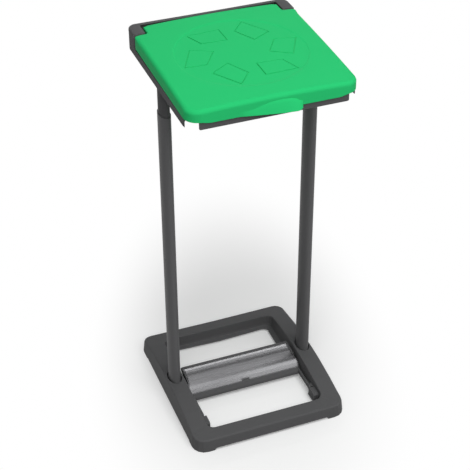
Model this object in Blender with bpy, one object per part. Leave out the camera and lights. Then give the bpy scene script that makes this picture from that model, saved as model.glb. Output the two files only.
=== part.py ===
"""Pedal bin bag holder: a moulded base and head joined by two oval posts, with a lid that a foot pedal lifts.

Metres, +Z up, front towards -Y, origin on the floor under the middle of the base.
"""
import math

import bmesh
import bpy
from mathutils import Matrix, Vector

# Fits and small edges
CLEARANCE = 0.0003
PIN_CLEARANCE = 0.0004
ROUND_STEPS = 16
OVAL_STEPS = 28
STEM_STEPS = 8
CORNER_STEPS = 4

# Posts: two oval tubes, whose spacing sets the width of the whole product
POST_SPACING = 0.3686
POST_X = POST_SPACING / 2
POST_Y = 0.0126
POST_HALF_WIDTH = 0.0144
POST_HALF_DEPTH = 0.028
POST_WALL = 0.0018
POST_BOTTOM = 0.0115

# Base: a hollow moulded ring on four corner feet, higher at its sides where the posts stand
BASE_SIDE_MARGIN = 0.0257
BASE_WIDTH = POST_SPACING + 2 * BASE_SIDE_MARGIN
BASE_DEPTH = 0.4544
BASE_HEIGHT = 0.037
BASE_WALL = 0.0028
BASE_FRONT_CORNER = 0.034
BASE_REAR_CORNER = 0.022
BASE_DRAFT = 0.0042
BASE_TOP_ROUND = 0.006
SIDE_BAR = 0.0497
END_BAR = 0.045
OPENING_CORNER = 0.020
OPENING_HALF_X = BASE_WIDTH / 2 - SIDE_BAR
ARCH_RISE = 0.0235
ARCH_MARGIN = 0.0272
LEDGE_REACH = 0.015
LEDGE_LEVEL = 0.0085
LEDGE_THICKNESS = 0.0045
CORNER_LIFT = 0.001
SIDE_LIFT = 0.005
END_LIFT = 0.0078
FOOT_LENGTH = 0.051
FOOT_EASE = 0.005

# Foot pads of rubber, pressed into the corners
PAD_RADIUS = 0.012
PAD_THICKNESS = 0.0029
PAD_STEM_RADIUS = 0.004
PAD_STEM_HEIGHT = 0.009
PAD_INSET = 0.024
PAD_BOSS_WALL = 0.003

# Sockets in the base for the posts
SOCKET_WALL = 0.0046
SOCKET_FLOOR = 0.008
SOCKET_DEPTH = 0.034
COLLAR_GAP_SIDE = 0.0042
COLLAR_GAP_END = 0.0012

# Pedal: a plastic carrier with a bowed steel plate, hinged near the front of the base
PEDAL_SETBACK = 0.1126
PEDAL_AXIS_Y = PEDAL_SETBACK - BASE_DEPTH / 2
PEDAL_AXIS_Z = 0.021
PLATE_CREST_Y = 0.030
PLATE_CREST_Z = 0.050
PLATE_RADIUS = 0.1207
PLATE_THICKNESS = 0.0008
PLATE_FRONT_Y = -0.038
PLATE_REAR_Y = 0.0432
PLATE_FLARE = 0.0082
PLATE_FLARE_START = 0.006
PLATE_FLARE_END = -0.022
PLATE_END_GAP = 0.01105
PLATE_LENGTH = 2 * (OPENING_HALF_X - PLATE_END_GAP)
CARRIER_WALL = 0.003
CHEEK_THICKNESS = 0.004
REAR_RIM_DEPTH = 0.009
REAR_RIM_DROP = 0.009
NOSE_DEPTH = 0.0095
NOSE_DROP = 0.016
ARM_HEIGHT = 0.010
ARM_EYE_RADIUS = 0.007
PIVOT_PIN_RADIUS = 0.003
PIVOT_PIN_LENGTH = 0.006
LUG_GAP = 0.0006
LUG_HALF_DEPTH = 0.0065
LUG_HEIGHT = 0.014
STOP_GAP = 0.0018
STOP_DEPTH = 0.034
STOP_REACH = 0.0145
STOP_HEIGHT = 0.030
STOP_EASE = 0.0045
CLIP_WIDTH = 0.010
CLIP_NOTCH = 0.020
CLIP_REACH = 0.005
EAR_BOTTOM = 0.028
EAR_THICKNESS = 0.004
EAR_HALF_DEPTH = 0.0046
EAR_SLOT_SPARE = 0.0025
EAR_SLOT_TOP_SPARE = 0.006

# Lift rods
ROD_RADIUS = 0.0025
ROD_HOLE_SPARE = 0.0009
ROD_HEAD_RADIUS = 0.0055
ROD_HEAD_HEIGHT = 0.0037
ROD_HEAD_GAP = 0.0011
GUIDE_HEIGHT = 0.008

# Head: a channel ring that holds the bag's rim and the lifting levers
HEAD_SIDE_MARGIN = 0.0189
HEAD_WIDTH = POST_SPACING + 2 * HEAD_SIDE_MARGIN
HEAD_HALF = HEAD_WIDTH / 2
HEAD_FRONT = -0.2095
HEAD_REAR = 0.2216
HEAD_BOTTOM = 0.941
HEAD_WALL = 0.0025
HEAD_FLOOR = 0.0028
HEAD_FRONT_CORNER = 0.030
HEAD_REAR_CORNER = 0.020
HEAD_INNER_CORNER = 0.012
HEAD_SIDE_CHANNEL = 0.038
HEAD_FRONT_CHANNEL = 0.026
HEAD_REAR_CHANNEL = 0.0551
HEAD_LEDGE = HEAD_BOTTOM + 0.0195
HEAD_LEDGE_DEPTH = 0.0037
HEAD_RIM = HEAD_LEDGE + 0.0135
HEAD_REAR_INNER_RIM = HEAD_BOTTOM + 0.025
HEAD_REAR_RIM = HEAD_BOTTOM + 0.0533
CORNER_LINK_BOTTOM = HEAD_LEDGE + 0.003
FRONT_BAR_MARGIN = 0.0269
FRONT_BAR_HALF = HEAD_HALF - FRONT_BAR_MARGIN
FRONT_BAR_ROUND = 0.004
SIDE_WALL_FRONT = HEAD_FRONT + 0.0245
SIDE_FLOOR_FRONT = HEAD_FRONT + 0.0595
FRONT_FLOOR_HALF = FRONT_BAR_HALF - 0.0283
SPIGOT_LENGTH = 0.117
SPIGOT_WALL = 0.0024
POST_TOP = HEAD_BOTTOM - 0.075

# Hood over each rear corner, with the lid's hinge in it
HOOD_WIDTH = 0.0284
HOOD_INNER_X = HEAD_HALF - HOOD_WIDTH
HOOD_FRONT = HEAD_REAR - HEAD_REAR_CHANNEL
HOOD_RISE = 0.0005
HOOD_ROOF = 0.0044
HOOD_EDGE_ROUND = 0.007
HOOD_LIP_BOTTOM = HEAD_BOTTOM + 0.0415
HINGE_Y = HEAD_REAR - 0.0296
HINGE_Z = HEAD_BOTTOM + 0.037
AXLE_RADIUS = 0.004
AXLE_REACH = 0.0228
AXLE_INNER_X = HOOD_INNER_X - AXLE_REACH
AXLE_BOSS_WALL = 0.0028
AXLE_BOSS_LENGTH = 0.007
AXLE_END_GAP = 0.0012
CRANK_LENGTH = 0.014
CRANK_DROP_ANGLE = math.radians(37.5)
CRANK_NOSE_RADIUS = 0.0025
CRANK_HUB_RADIUS = 0.0065
CRANK_THICKNESS = 0.003
CRANK_GAP = 0.0007

# Levers in the side channels
LEVER_PIVOT_Y = HINGE_Y - 0.0988
LEVER_PIVOT_Z = HEAD_BOTTOM + 0.0228
LEVER_THICKNESS = 0.010
LEVER_HEIGHT = 0.008
LEVER_END_SPARE = 0.009
LEVER_HUB_RADIUS = 0.0062
LEVER_PIN_RADIUS = 0.0025
LEVER_SLOT_HALF = 0.0062
BRACKET_GAP = 0.001
BRACKET_THICKNESS = 0.003
BRACKET_HALF_DEPTH = 0.007
BRACKET_TOP_SPARE = 0.0045
PIN_OVERHANG = 0.001

# Lid: a crowned shell with a skirt, a lip for the hand and a round recess
LID_WALL = 0.0026
LID_SIDE_GAP = 0.0004
LID_FRONT_GAP = 0.0004
LID_HALF = HEAD_HALF - LID_SIDE_GAP
LID_FRONT = HEAD_FRONT - LID_FRONT_GAP - LID_WALL
LID_CORNER = 0.033
LID_SIDE_BOTTOM_REAR = HEAD_LEDGE + 0.0047
LID_SIDE_BOTTOM_FRONT = HEAD_LEDGE + 0.0008
LID_FRONT_BOTTOM = HEAD_LEDGE - 0.0035
LID_REAR_BOTTOM = HEAD_RIM + 0.009
LID_SIDE_REAR = HOOD_FRONT - 0.0059
LID_TONGUE_HALF = HOOD_INNER_X - 0.0053
LID_TONGUE_REAR = HEAD_REAR - 0.0168
LID_NOTCH_ROUND = 0.006
LID_TONGUE_ROUND = 0.016
LID_DEEP_FRONT_HALF = LID_HALF - 0.0528
LID_DEEP_FRONT_EASE = 0.026
LID_CREST = HEAD_BOTTOM + 0.0602
LID_CROWN_SIDE = 0.0055
LID_CROWN_FRONT = 0.0065
LID_CROWN_REFERENCE_Y = 0.130
LID_CROWN_SPAN = 0.300
LID_EDGE_ROUND = 0.0095
LID_NOTCH_EDGE_ROUND = 0.0028
LID_EDGE_DROP = 0.95
LIP_LEFT = -0.084
LIP_CREST = 0.046
LIP_RIGHT = 0.063
LIP_REACH = 0.014
LIP_DROP = 0.005
LIP_SCOOP_HEIGHT = 0.0235
LIP_SCOOP_CREST = 0.015
SCOOP_LEVEL = 0.4
RECESS_Y = -0.005
RECESS_MARGIN = 0.0468
RECESS_RADIUS = LID_HALF - RECESS_MARGIN
RECESS_DEPTH = 0.0010
PANEL_COUNT = 6
PANEL_CORNERS = ((0.092, -20), (0.058, 18), (0.010, 9), (0.038, -24))
PANEL_HEIGHT = 0.0006
BARREL_RADIUS = 0.0080
BARREL_LENGTH = 0.020

# Rubber buffers under the lid
BUFFER_X = LID_DEEP_FRONT_HALF - 0.030
BUFFER_Y = HEAD_FRONT + 0.0165
BUFFER_GAP = 0.0007
BUFFER_RADIUS = 0.006
BUFFER_HEIGHT = 0.005
BUFFER_PILLAR_RADIUS = 0.005
BUFFER_STEM_RADIUS = 0.002
BUFFER_STEM_LENGTH = 0.006

HINGE = Vector((0, HINGE_Y, HINGE_Z))
PEDAL_AXIS = Vector((0, PEDAL_AXIS_Y, PEDAL_AXIS_Z))
LEVER_PIVOT = Vector((0, LEVER_PIVOT_Y, LEVER_PIVOT_Z))
PLATE_CENTRE_Z = PLATE_CREST_Z - PLATE_RADIUS
CRANK_NOSE_Y = HINGE_Y - CRANK_LENGTH * math.cos(CRANK_DROP_ANGLE)
CRANK_NOSE_Z = HINGE_Z - CRANK_LENGTH * math.sin(CRANK_DROP_ANGLE)
SPIGOT_HALF_WIDTH = POST_HALF_WIDTH - POST_WALL - CLEARANCE
SPIGOT_HALF_DEPTH = POST_HALF_DEPTH - POST_WALL - CLEARANCE
SPIGOT_BORE_WIDTH = SPIGOT_HALF_WIDTH - SPIGOT_WALL
SPIGOT_BORE_DEPTH = SPIGOT_HALF_DEPTH - SPIGOT_WALL
SPIGOT_BOTTOM = HEAD_BOTTOM - SPIGOT_LENGTH
BEYOND = 0.010


def clear_scene():
    """Start from an empty scene."""
    for item in list(bpy.data.objects):
        bpy.data.objects.remove(item, do_unlink=True)


def finish_material(name, colour, roughness, metallic=0.0):
    """A Principled material in a given linear colour."""
    material = bpy.data.materials.new(name)
    material.use_nodes = True
    shader = material.node_tree.nodes["Principled BSDF"]
    shader.inputs["Base Color"].default_value = (*colour, 1.0)
    shader.inputs["Roughness"].default_value = roughness
    shader.inputs["Metallic"].default_value = metallic
    return material


def make_object(name, bm):
    """Turn a bmesh into an object with its faces pointing out."""
    bmesh.ops.remove_doubles(bm, verts=bm.verts, dist=1e-6)
    bmesh.ops.recalc_face_normals(bm, faces=bm.faces)
    mesh = bpy.data.meshes.new(name)
    bm.to_mesh(mesh)
    bm.free()
    item = bpy.data.objects.new(name, mesh)
    bpy.context.scene.collection.objects.link(item)
    return item


def boolean(target, tool, operation):
    """Join or cut the target with a tool body, which is then removed."""
    modifier = target.modifiers.new(operation.lower(), "BOOLEAN")
    modifier.operation = operation
    modifier.solver = "EXACT"
    modifier.object = tool
    depsgraph = bpy.context.evaluated_depsgraph_get()
    result = bpy.data.meshes.new_from_object(target.evaluated_get(depsgraph))
    target.modifiers.clear()
    target.data = result
    bpy.data.objects.remove(tool, do_unlink=True)


def join(target, *tools):
    """Unite tool bodies with the target."""
    for tool in tools:
        boolean(target, tool, "UNION")


def cut(target, *tools):
    """Cut tool bodies out of the target."""
    for tool in tools:
        boolean(target, tool, "DIFFERENCE")


def settle(item, origin, material, sharp_degrees=32):
    """Move the origin to its reference point, clean the mesh, shade it and give it its material."""
    mesh = item.data
    bm = bmesh.new()
    bm.from_mesh(mesh)
    bmesh.ops.remove_doubles(bm, verts=bm.verts, dist=2e-6)
    bmesh.ops.dissolve_degenerate(bm, edges=bm.edges, dist=1e-6)
    bmesh.ops.transform(bm, matrix=Matrix.Translation(-Vector(origin)), verts=bm.verts)
    bm.to_mesh(mesh)
    bm.free()
    item.location = origin
    mesh.shade_smooth()
    mesh.set_sharp_from_angle(angle=math.radians(sharp_degrees))
    mesh.materials.clear()
    mesh.materials.append(material)
    return item


def extrude_outline(name, points, direction):
    """A closed solid from a flat outline of 3-D points, extruded along a vector."""
    bm = bmesh.new()
    face = bm.faces.new([bm.verts.new(point) for point in points])
    grown = bmesh.ops.extrude_face_region(bm, geom=[face])
    moved = [part for part in grown["geom"] if isinstance(part, bmesh.types.BMVert)]
    bmesh.ops.translate(bm, vec=direction, verts=moved)
    return make_object(name, bm)


def prism_x(name, outline, x_start, x_end):
    """A solid whose section in y and z is the same from x_start to x_end."""
    points = [(x_start, y, z) for y, z in outline]
    return extrude_outline(name, points, Vector((x_end - x_start, 0, 0)))


def prism_y(name, outline, y_start, y_end):
    """A solid whose section in x and z is the same from y_start to y_end."""
    points = [(x, y_start, z) for x, z in outline]
    return extrude_outline(name, points, Vector((0, y_end - y_start, 0)))


def prism_z(name, outline, z_start, z_end):
    """A solid whose plan in x and y is the same from z_start to z_end."""
    points = [(x, y, z_start) for x, y in outline]
    return extrude_outline(name, points, Vector((0, 0, z_end - z_start)))


def box(name, x_range, y_range, z_range):
    """A plain block between two corners."""
    (x0, x1), (y0, y1), (z0, z1) = x_range, y_range, z_range
    return prism_z(name, [(x0, y0), (x1, y0), (x1, y1), (x0, y1)], z0, z1)


def arc(centre, radius, start, end, steps):
    """Points along an arc, both ends included, angles in degrees."""
    points = []
    for step in range(steps + 1):
        angle = math.radians(start + (end - start) * step / steps)
        points.append((centre[0] + radius * math.cos(angle), centre[1] + radius * math.sin(angle)))
    return points


def oval(centre, half_x, half_y, steps=OVAL_STEPS):
    """Plan points of an ellipse."""
    points = []
    for step in range(steps):
        angle = math.tau * step / steps
        points.append((centre[0] + half_x * math.cos(angle), centre[1] + half_y * math.sin(angle)))
    return points


def disc_z(name, centre, radius, z_start, z_end, steps=ROUND_STEPS):
    """A round upright solid."""
    return prism_z(name, oval(centre, radius, radius, steps), z_start, z_end)


def disc_x(name, centre, radius, x_start, x_end, steps=ROUND_STEPS):
    """A round solid lying along x, centred on a point in y and z."""
    return prism_x(name, oval(centre, radius, radius, steps), x_start, x_end)


def closed_sweep(name, stations):
    """A ring-shaped solid: closed sections, one at each station round a closed path."""
    bm = bmesh.new()
    rows = [[bm.verts.new(point) for point in section] for section in stations]
    for row, following in zip(rows, rows[1:] + rows[:1]):
        pairs = list(zip(row, following))
        for (a, b), (c, d) in zip(pairs, pairs[1:] + pairs[:1]):
            bm.faces.new((a, b, d, c))
    return make_object(name, bm)


def oval_tube(name, centre, half_x, half_y, wall, z_start, z_end):
    """An upright oval tube."""
    outer = oval(centre, half_x, half_y)
    inner = oval(centre, half_x - wall, half_y - wall)
    stations = []
    for (ox, oy), (ix, iy) in zip(outer, inner):
        stations.append([(ox, oy, z_start), (ox, oy, z_end), (ix, iy, z_end), (ix, iy, z_start)])
    return closed_sweep(name, stations)


def rounded_loop(half_x, y_range, radii, side_marks, end_marks):
    """Plan points of a rounded rectangle, from the front of its right side counter-clockwise.

    The radii are those of the front and rear corners. The marks, from -1 to 1, divide the straight runs,
    and the side marks run from front to rear.
    """
    front, rear = y_range
    front_radius, rear_radius = radii
    low, high = front + front_radius, rear - rear_radius
    front_run = half_x - front_radius
    rear_run = half_x - rear_radius
    side = [(low + high) / 2 + mark * (high - low) / 2 for mark in side_marks]
    points = [(half_x, y) for y in side]
    points += arc((rear_run, high), rear_radius, 0, 90, CORNER_STEPS)[1:-1]
    points += [(-mark * rear_run, rear) for mark in end_marks]
    points += arc((-rear_run, high), rear_radius, 90, 180, CORNER_STEPS)[1:-1]
    points += [(-half_x, y) for y in reversed(side)]
    points += arc((-front_run, low), front_radius, 180, 270, CORNER_STEPS)[1:-1]
    points += [(mark * front_run, front) for mark in end_marks]
    points += arc((front_run, low), front_radius, 270, 360, CORNER_STEPS)[1:-1]
    return points


def ring_stations(outer, inner, section_at):
    """Sections across a ring between two matching plan loops."""
    stations = []
    for outer_point, inner_point in zip(outer, inner):
        start = Vector(outer_point)
        across = Vector(inner_point) - start
        width = across.length
        across.normalize()
        section = []
        for distance, height in section_at(start, Vector(inner_point), width):
            point = start + across * distance
            section.append((point.x, point.y, height(point.y) if callable(height) else height))
        stations.append(section)
    return stations


def base_top(y):
    """Height of the base's top face, which arches up to the posts."""
    share = min(abs(y - POST_Y) / (BASE_DEPTH / 2 - ARCH_MARGIN), 1.0)
    return BASE_HEIGHT + ARCH_RISE * (1 - share * share)


def below_top(drop):
    """A height that follows the base's top face."""
    return lambda y: base_top(y) - drop


def foot_lift(x, y, on_end):
    """Height of the wall's lower edge: nearly on the floor at the corner feet and raised between them."""
    if on_end:
        inward = BASE_WIDTH / 2 - FOOT_LENGTH - abs(x)
        lift = END_LIFT
    else:
        inward = BASE_DEPTH / 2 - FOOT_LENGTH - abs(y)
        lift = SIDE_LIFT
    share = min(max(inward / FOOT_EASE, 0.0), 1.0)
    return CORNER_LIFT + (lift - CORNER_LIFT) * share


def pedal_zone():
    """The stretch of the side bars that the pedal moves in."""
    rear = PLATE_REAR_Y + REAR_RIM_DEPTH + BEYOND
    front = PEDAL_AXIS_Y - ARM_EYE_RADIUS - CLEARANCE * 4
    return front, rear


def base_section(outer, inner, width):
    """Section of the base's wall, from its outer foot over the top to its inner foot and back inside."""
    zone_front, zone_rear = pedal_zone()
    on_side = abs(abs(inner.x) - OPENING_HALF_X) < CLEARANCE
    on_end = abs(abs(outer.y) - BASE_DEPTH / 2) < CLEARANCE
    short = on_side and zone_front < inner.y < zone_rear
    thick = LEDGE_THICKNESS
    ledge = thick / 2 if short else LEDGE_REACH
    foot = foot_lift(outer.x, outer.y, on_end)
    wall = BASE_WALL
    third = BASE_TOP_ROUND / 3
    return [
        (0, foot),
        (BASE_DRAFT * 0.8, below_top(BASE_TOP_ROUND)),
        (BASE_DRAFT, below_top(third * 1.3)),
        (BASE_DRAFT + third * 1.3, below_top(third * 0.3)),
        (BASE_DRAFT + third * 3, below_top(0)),
        (width - third * 2, below_top(third * 0.15)),
        (width - third * 0.6, below_top(third * 0.7)),
        (width, below_top(third * 2)),
        (width + thick / 3, LEDGE_LEVEL + thick * 2),
        (width + thick / 2 + ledge * 0.12, LEDGE_LEVEL + thick * 0.7),
        (width + ledge + thick / 4, LEDGE_LEVEL),
        (width + ledge + thick / 4, LEDGE_LEVEL - thick * 0.6),
        (width + thick / 4 - wall * 0.4, LEDGE_LEVEL - thick * 0.6),
        (width + thick / 3 - wall, LEDGE_LEVEL + thick * 2),
        (width - wall, below_top(third * 2 + wall)),
        (BASE_DRAFT + wall + third, below_top(wall)),
        (BASE_DRAFT + wall, below_top(wall + third * 2)),
        (wall, foot),
    ]


def marks_for(values, run, middle):
    """Marks from -1 to 1 at chosen places along a straight run."""
    return [(value - middle) / run for value in values]


def base_ring():
    """The base's hollow ring."""
    half = BASE_DEPTH / 2
    run = half - END_BAR - OPENING_CORNER
    zone_front, zone_rear = pedal_zone()
    foot_y = half - FOOT_LENGTH
    steps = [zone_front - CLEARANCE, zone_front + CLEARANCE * 2]
    steps += [zone_rear - CLEARANCE * 2, zone_rear + CLEARANCE]
    even = [POST_Y - 0.065, POST_Y - 0.022, POST_Y + 0.022, (zone_rear + run) / 2]
    inner_marks = marks_for([FOOT_EASE / 2 - run, run - FOOT_EASE / 2], run, 0.0)
    inner_marks = sorted([-1.0, 1.0, *inner_marks] + marks_for(steps + even, run, 0.0))
    outer_run = half - (BASE_FRONT_CORNER + BASE_REAR_CORNER) / 2
    outer_middle = (BASE_FRONT_CORNER - BASE_REAR_CORNER) / 2
    feet = marks_for([-foot_y, FOOT_EASE - foot_y, foot_y - FOOT_EASE, foot_y], outer_run, outer_middle)
    outer_marks = [-1.0, *feet[:2], *marks_for(sorted(steps + even), outer_run, outer_middle), *feet[2:], 1.0]
    inner_marks = [-1.0, -1.0 + 0.01, *inner_marks[1:-1], 1.0 - 0.01, 1.0]
    foot_x = BASE_WIDTH / 2 - FOOT_LENGTH
    foot_run = BASE_WIDTH / 2 - BASE_FRONT_CORNER
    ends = marks_for([-foot_x, FOOT_EASE - foot_x, 0.0, foot_x - FOOT_EASE, foot_x], foot_run, 0.0)
    end_marks = [-1.0, *ends, 1.0]
    corners = (BASE_FRONT_CORNER, BASE_REAR_CORNER)
    outer = rounded_loop(BASE_WIDTH / 2, (-half, half), corners, outer_marks, end_marks)
    corners = (OPENING_CORNER, OPENING_CORNER)
    inner = rounded_loop(OPENING_HALF_X, (END_BAR - half, half - END_BAR), corners, inner_marks, end_marks)
    return closed_sweep("base_frame", ring_stations(outer, inner, base_section))


def pad_places():
    """Plan centres of the four foot pads."""
    x = BASE_WIDTH / 2 - PAD_INSET
    y = BASE_DEPTH / 2 - PAD_INSET
    return {"front_left": (-x, -y), "front_right": (x, -y), "rear_left": (-x, y), "rear_right": (x, y)}


def ear_slot(name, side, top):
    """The room that a pedal ear and the rod's foot need under a post."""
    half = EAR_HALF_DEPTH + EAR_SLOT_SPARE
    reach = POST_X + ROD_HEAD_RADIUS + EAR_SLOT_SPARE / 2
    start = OPENING_HALF_X - BEYOND
    return box(name, sorted((side * start, side * reach)), (POST_Y - half, POST_Y + half), (-BEYOND, top))


def slot_top():
    """Top of the room for the pedal ears."""
    return EAR_BOTTOM + EAR_THICKNESS + EAR_SLOT_TOP_SPARE


def arm_outer_x():
    """Outer face of the pedal's cheeks and arms."""
    return PLATE_LENGTH / 2 + CLEARANCE + CHEEK_THICKNESS


def base_frame(material):
    """The base: ring, sockets for the posts, bosses for the pads and bearings for the pedal."""
    frame = base_ring()
    socket_top = base_top(POST_Y) - BASE_WALL / 2
    for side in (-1, 1):
        centre = (side * POST_X, POST_Y)
        fit_x = POST_HALF_WIDTH + CLEARANCE
        fit_y = POST_HALF_DEPTH + CLEARANCE
        boss = oval(centre, fit_x + SOCKET_WALL, fit_y + SOCKET_WALL)
        join(frame, prism_z("socket", boss, SOCKET_FLOOR - BASE_WALL / 2, socket_top))
        cut(frame, prism_z("fit", oval(centre, fit_x, fit_y), POST_BOTTOM - CLEARANCE, socket_top + BEYOND))
        collar = oval(centre, POST_HALF_WIDTH + COLLAR_GAP_SIDE, POST_HALF_DEPTH + COLLAR_GAP_END)
        cut(frame, prism_z("collar", collar, POST_BOTTOM + SOCKET_DEPTH, socket_top + BEYOND))
        cut(frame, ear_slot("slot", side, slot_top()))
        add_bearing(frame, side)
    for place in pad_places().values():
        radius = PAD_STEM_RADIUS + CLEARANCE + PAD_BOSS_WALL
        floor = PAD_THICKNESS + CLEARANCE
        stem_top = floor + PAD_STEM_HEIGHT + CLEARANCE
        join(frame, disc_z("boss", place, radius, floor, BASE_HEIGHT - BASE_WALL / 2, STEM_STEPS))
        cut(frame, disc_z("bore", place, PAD_STEM_RADIUS + CLEARANCE, -BEYOND, stem_top, STEM_STEPS))
    return settle(frame, (0, 0, 0), material)


def add_bearing(frame, side):
    """A lug with the pedal pin's hole, and the stop block in front of the arm."""
    wall_x = OPENING_HALF_X + BASE_WALL / 4
    lug_x = arm_outer_x() + LUG_GAP
    low = PEDAL_AXIS_Z - LUG_HEIGHT / 2
    lug_y = (PEDAL_AXIS_Y - LUG_HALF_DEPTH, PEDAL_AXIS_Y + LUG_HALF_DEPTH)
    join(frame, box("lug", sorted((side * lug_x, side * wall_x)), lug_y, (low, low + LUG_HEIGHT)))
    rear = PEDAL_AXIS_Y - ARM_EYE_RADIUS - STOP_GAP
    ease = STOP_EASE
    floor = LEDGE_LEVEL - LEDGE_THICKNESS / 2
    stop = [(rear, floor), (rear, STOP_HEIGHT - ease), (rear - ease, STOP_HEIGHT)]
    stop += [(rear - STOP_DEPTH + ease, STOP_HEIGHT), (rear - STOP_DEPTH, STOP_HEIGHT - ease)]
    stop += [(rear - STOP_DEPTH, floor)]
    inner_x = OPENING_HALF_X - STOP_REACH
    join(frame, prism_x("stop", stop, side * inner_x, side * wall_x))
    hole = PIVOT_PIN_RADIUS + PIN_CLEARANCE
    bore = (PEDAL_AXIS_Y, PEDAL_AXIS_Z)
    cut(frame, disc_x("hole", bore, hole, side * (lug_x - BEYOND / 4), side * (wall_x + BEYOND / 2)))


def foot_pad(name, place, material):
    """A rubber disc with a stem."""
    pad = disc_z(name, place, PAD_RADIUS, 0, PAD_THICKNESS)
    stem_top = PAD_THICKNESS + PAD_STEM_HEIGHT
    join(pad, disc_z("stem", place, PAD_STEM_RADIUS, PAD_THICKNESS / 2, stem_top, STEM_STEPS))
    return settle(pad, (*place, 0), material)


def post(name, side, material):
    """An oval tube, open at its foot for the pedal ear."""
    centre = (side * POST_X, POST_Y)
    tube = oval_tube(name, centre, POST_HALF_WIDTH, POST_HALF_DEPTH, POST_WALL, POST_BOTTOM, POST_TOP)
    cut(tube, ear_slot("slot", side, slot_top()))
    return settle(tube, (*centre, POST_BOTTOM), material)


def plate_height(y, radius):
    """Height of a bowed surface of the pedal, about the plate's own centre."""
    offset = y - PLATE_CREST_Y
    return PLATE_CENTRE_Z + math.sqrt(radius * radius - offset * offset)


def bow(y_start, y_end, radius, steps=8):
    """Points along the pedal's bow."""
    points = []
    for step in range(steps + 1):
        y = y_start + (y_end - y_start) * step / steps
        points.append((y, plate_height(y, radius)))
    return points


def nose_bottom():
    """Height of the lower edge of the pedal's front face."""
    return plate_height(PLATE_FRONT_Y, PLATE_RADIUS) - NOSE_DROP


def clip_front():
    """How far back the plate's notch reaches from its front edge."""
    return PLATE_FRONT_Y + CLIP_REACH


def pedal_plate(material):
    """The bowed steel plate, flared over the cheeks at its front, with a notch for the carrier's clip."""
    inner = PLATE_RADIUS - PLATE_THICKNESS
    outline = bow(PLATE_REAR_Y, PLATE_FRONT_Y, PLATE_RADIUS) + bow(PLATE_FRONT_Y, PLATE_REAR_Y, inner)
    half = PLATE_LENGTH / 2
    wide = half + PLATE_FLARE
    plate = prism_x("pedal_plate", outline, -wide, wide)
    notch = CLIP_NOTCH / 2
    heights = (0, PLATE_CREST_Z + BEYOND)
    for side in (-1, 1):
        far = side * (wide + BEYOND)
        spare = [(side * half, PLATE_FLARE_START), (side * wide, PLATE_FLARE_END), (far, PLATE_FLARE_END)]
        spare += [(far, PLATE_REAR_Y + BEYOND), (side * half, PLATE_REAR_Y + BEYOND)]
        cut(plate, prism_z("spare", spare, *heights))
    cut(plate, box("notch", (-notch, notch), (PLATE_FRONT_Y - BEYOND, clip_front()), heights))
    return settle(plate, PEDAL_AXIS, material)


def carrier_body():
    """The carrier's bowed shell with a rear rim and a front nose."""
    seat = PLATE_RADIUS - PLATE_THICKNESS - CLEARANCE
    under = seat - CARRIER_WALL
    rim_front = PLATE_REAR_Y + CLEARANCE
    rim_rear = rim_front + REAR_RIM_DEPTH
    rim_top = PLATE_CREST_Z + PLATE_THICKNESS
    rim_bottom = rim_top - REAR_RIM_DROP
    front = PLATE_FRONT_Y - CLEARANCE
    front_top = plate_height(PLATE_FRONT_Y, PLATE_RADIUS)
    nose = front - NOSE_DEPTH
    ease = CARRIER_WALL / 2
    outline = [(rim_rear, rim_bottom), (rim_rear, rim_top - ease * 1.6)]
    outline += [(rim_rear - ease, rim_top - ease * 0.4), (rim_rear - ease * 2.4, rim_top)]
    outline += [(rim_front + ease * 0.6, rim_top), (rim_front, rim_top - ease * 0.6)]
    outline += bow(rim_front, front, seat)
    outline += [(front, front_top + ease * 0.1), (front - ease * 0.8, front_top - ease * 0.2)]
    outline += [(front - NOSE_DEPTH * 0.56, front_top - NOSE_DEPTH * 0.5)]
    outline += [(front - NOSE_DEPTH * 0.84, front_top - NOSE_DEPTH * 0.8)]
    outline += [(nose, front_top - NOSE_DEPTH * 1.2)]
    outline += [(nose + ease * 0.2, nose_bottom()), (nose + CARRIER_WALL, nose_bottom())]
    outline += [(nose + CARRIER_WALL * 1.2, front_top - NOSE_DEPTH * 1.1)]
    outline += bow(front + ease, rim_front + ease, under)
    inner_rear = rim_rear - CARRIER_WALL
    outline += [(inner_rear, rim_top - CARRIER_WALL * 1.6), (inner_rear, rim_bottom)]
    half = PLATE_LENGTH / 2 + CLEARANCE * 2
    return prism_x("pedal_carrier", outline, -half, half)


def cheek_outline():
    """Side view of a cheek and its arm, from the rear over the top to the pivot and back below."""
    rim_rear = PLATE_REAR_Y + CLEARANCE + REAR_RIM_DEPTH
    top_radius = PLATE_RADIUS + PLATE_THICKNESS
    front = PLATE_FRONT_Y - CLEARANCE
    nose = front - NOSE_DEPTH
    rim_top = PLATE_CREST_Z + PLATE_THICKNESS
    half = ARM_HEIGHT / 2
    level = PEDAL_AXIS_Z
    outline = [(rim_rear, rim_top - REAR_RIM_DROP), (rim_rear, rim_top - CARRIER_WALL)]
    seat_start = PLATE_FLARE_START + CLEARANCE
    outline += bow(rim_rear - CARRIER_WALL, seat_start, top_radius, 4)
    outline += bow(seat_start, front, PLATE_RADIUS - PLATE_THICKNESS - CLEARANCE, 5)
    outline += [(nose, level + half)]
    outline += arc((PEDAL_AXIS_Y, level), ARM_EYE_RADIUS, 60, 300, 8)
    outline += [(nose, nose_bottom()), (nose + NOSE_DEPTH, nose_bottom() + half / 2)]
    return outline


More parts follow.
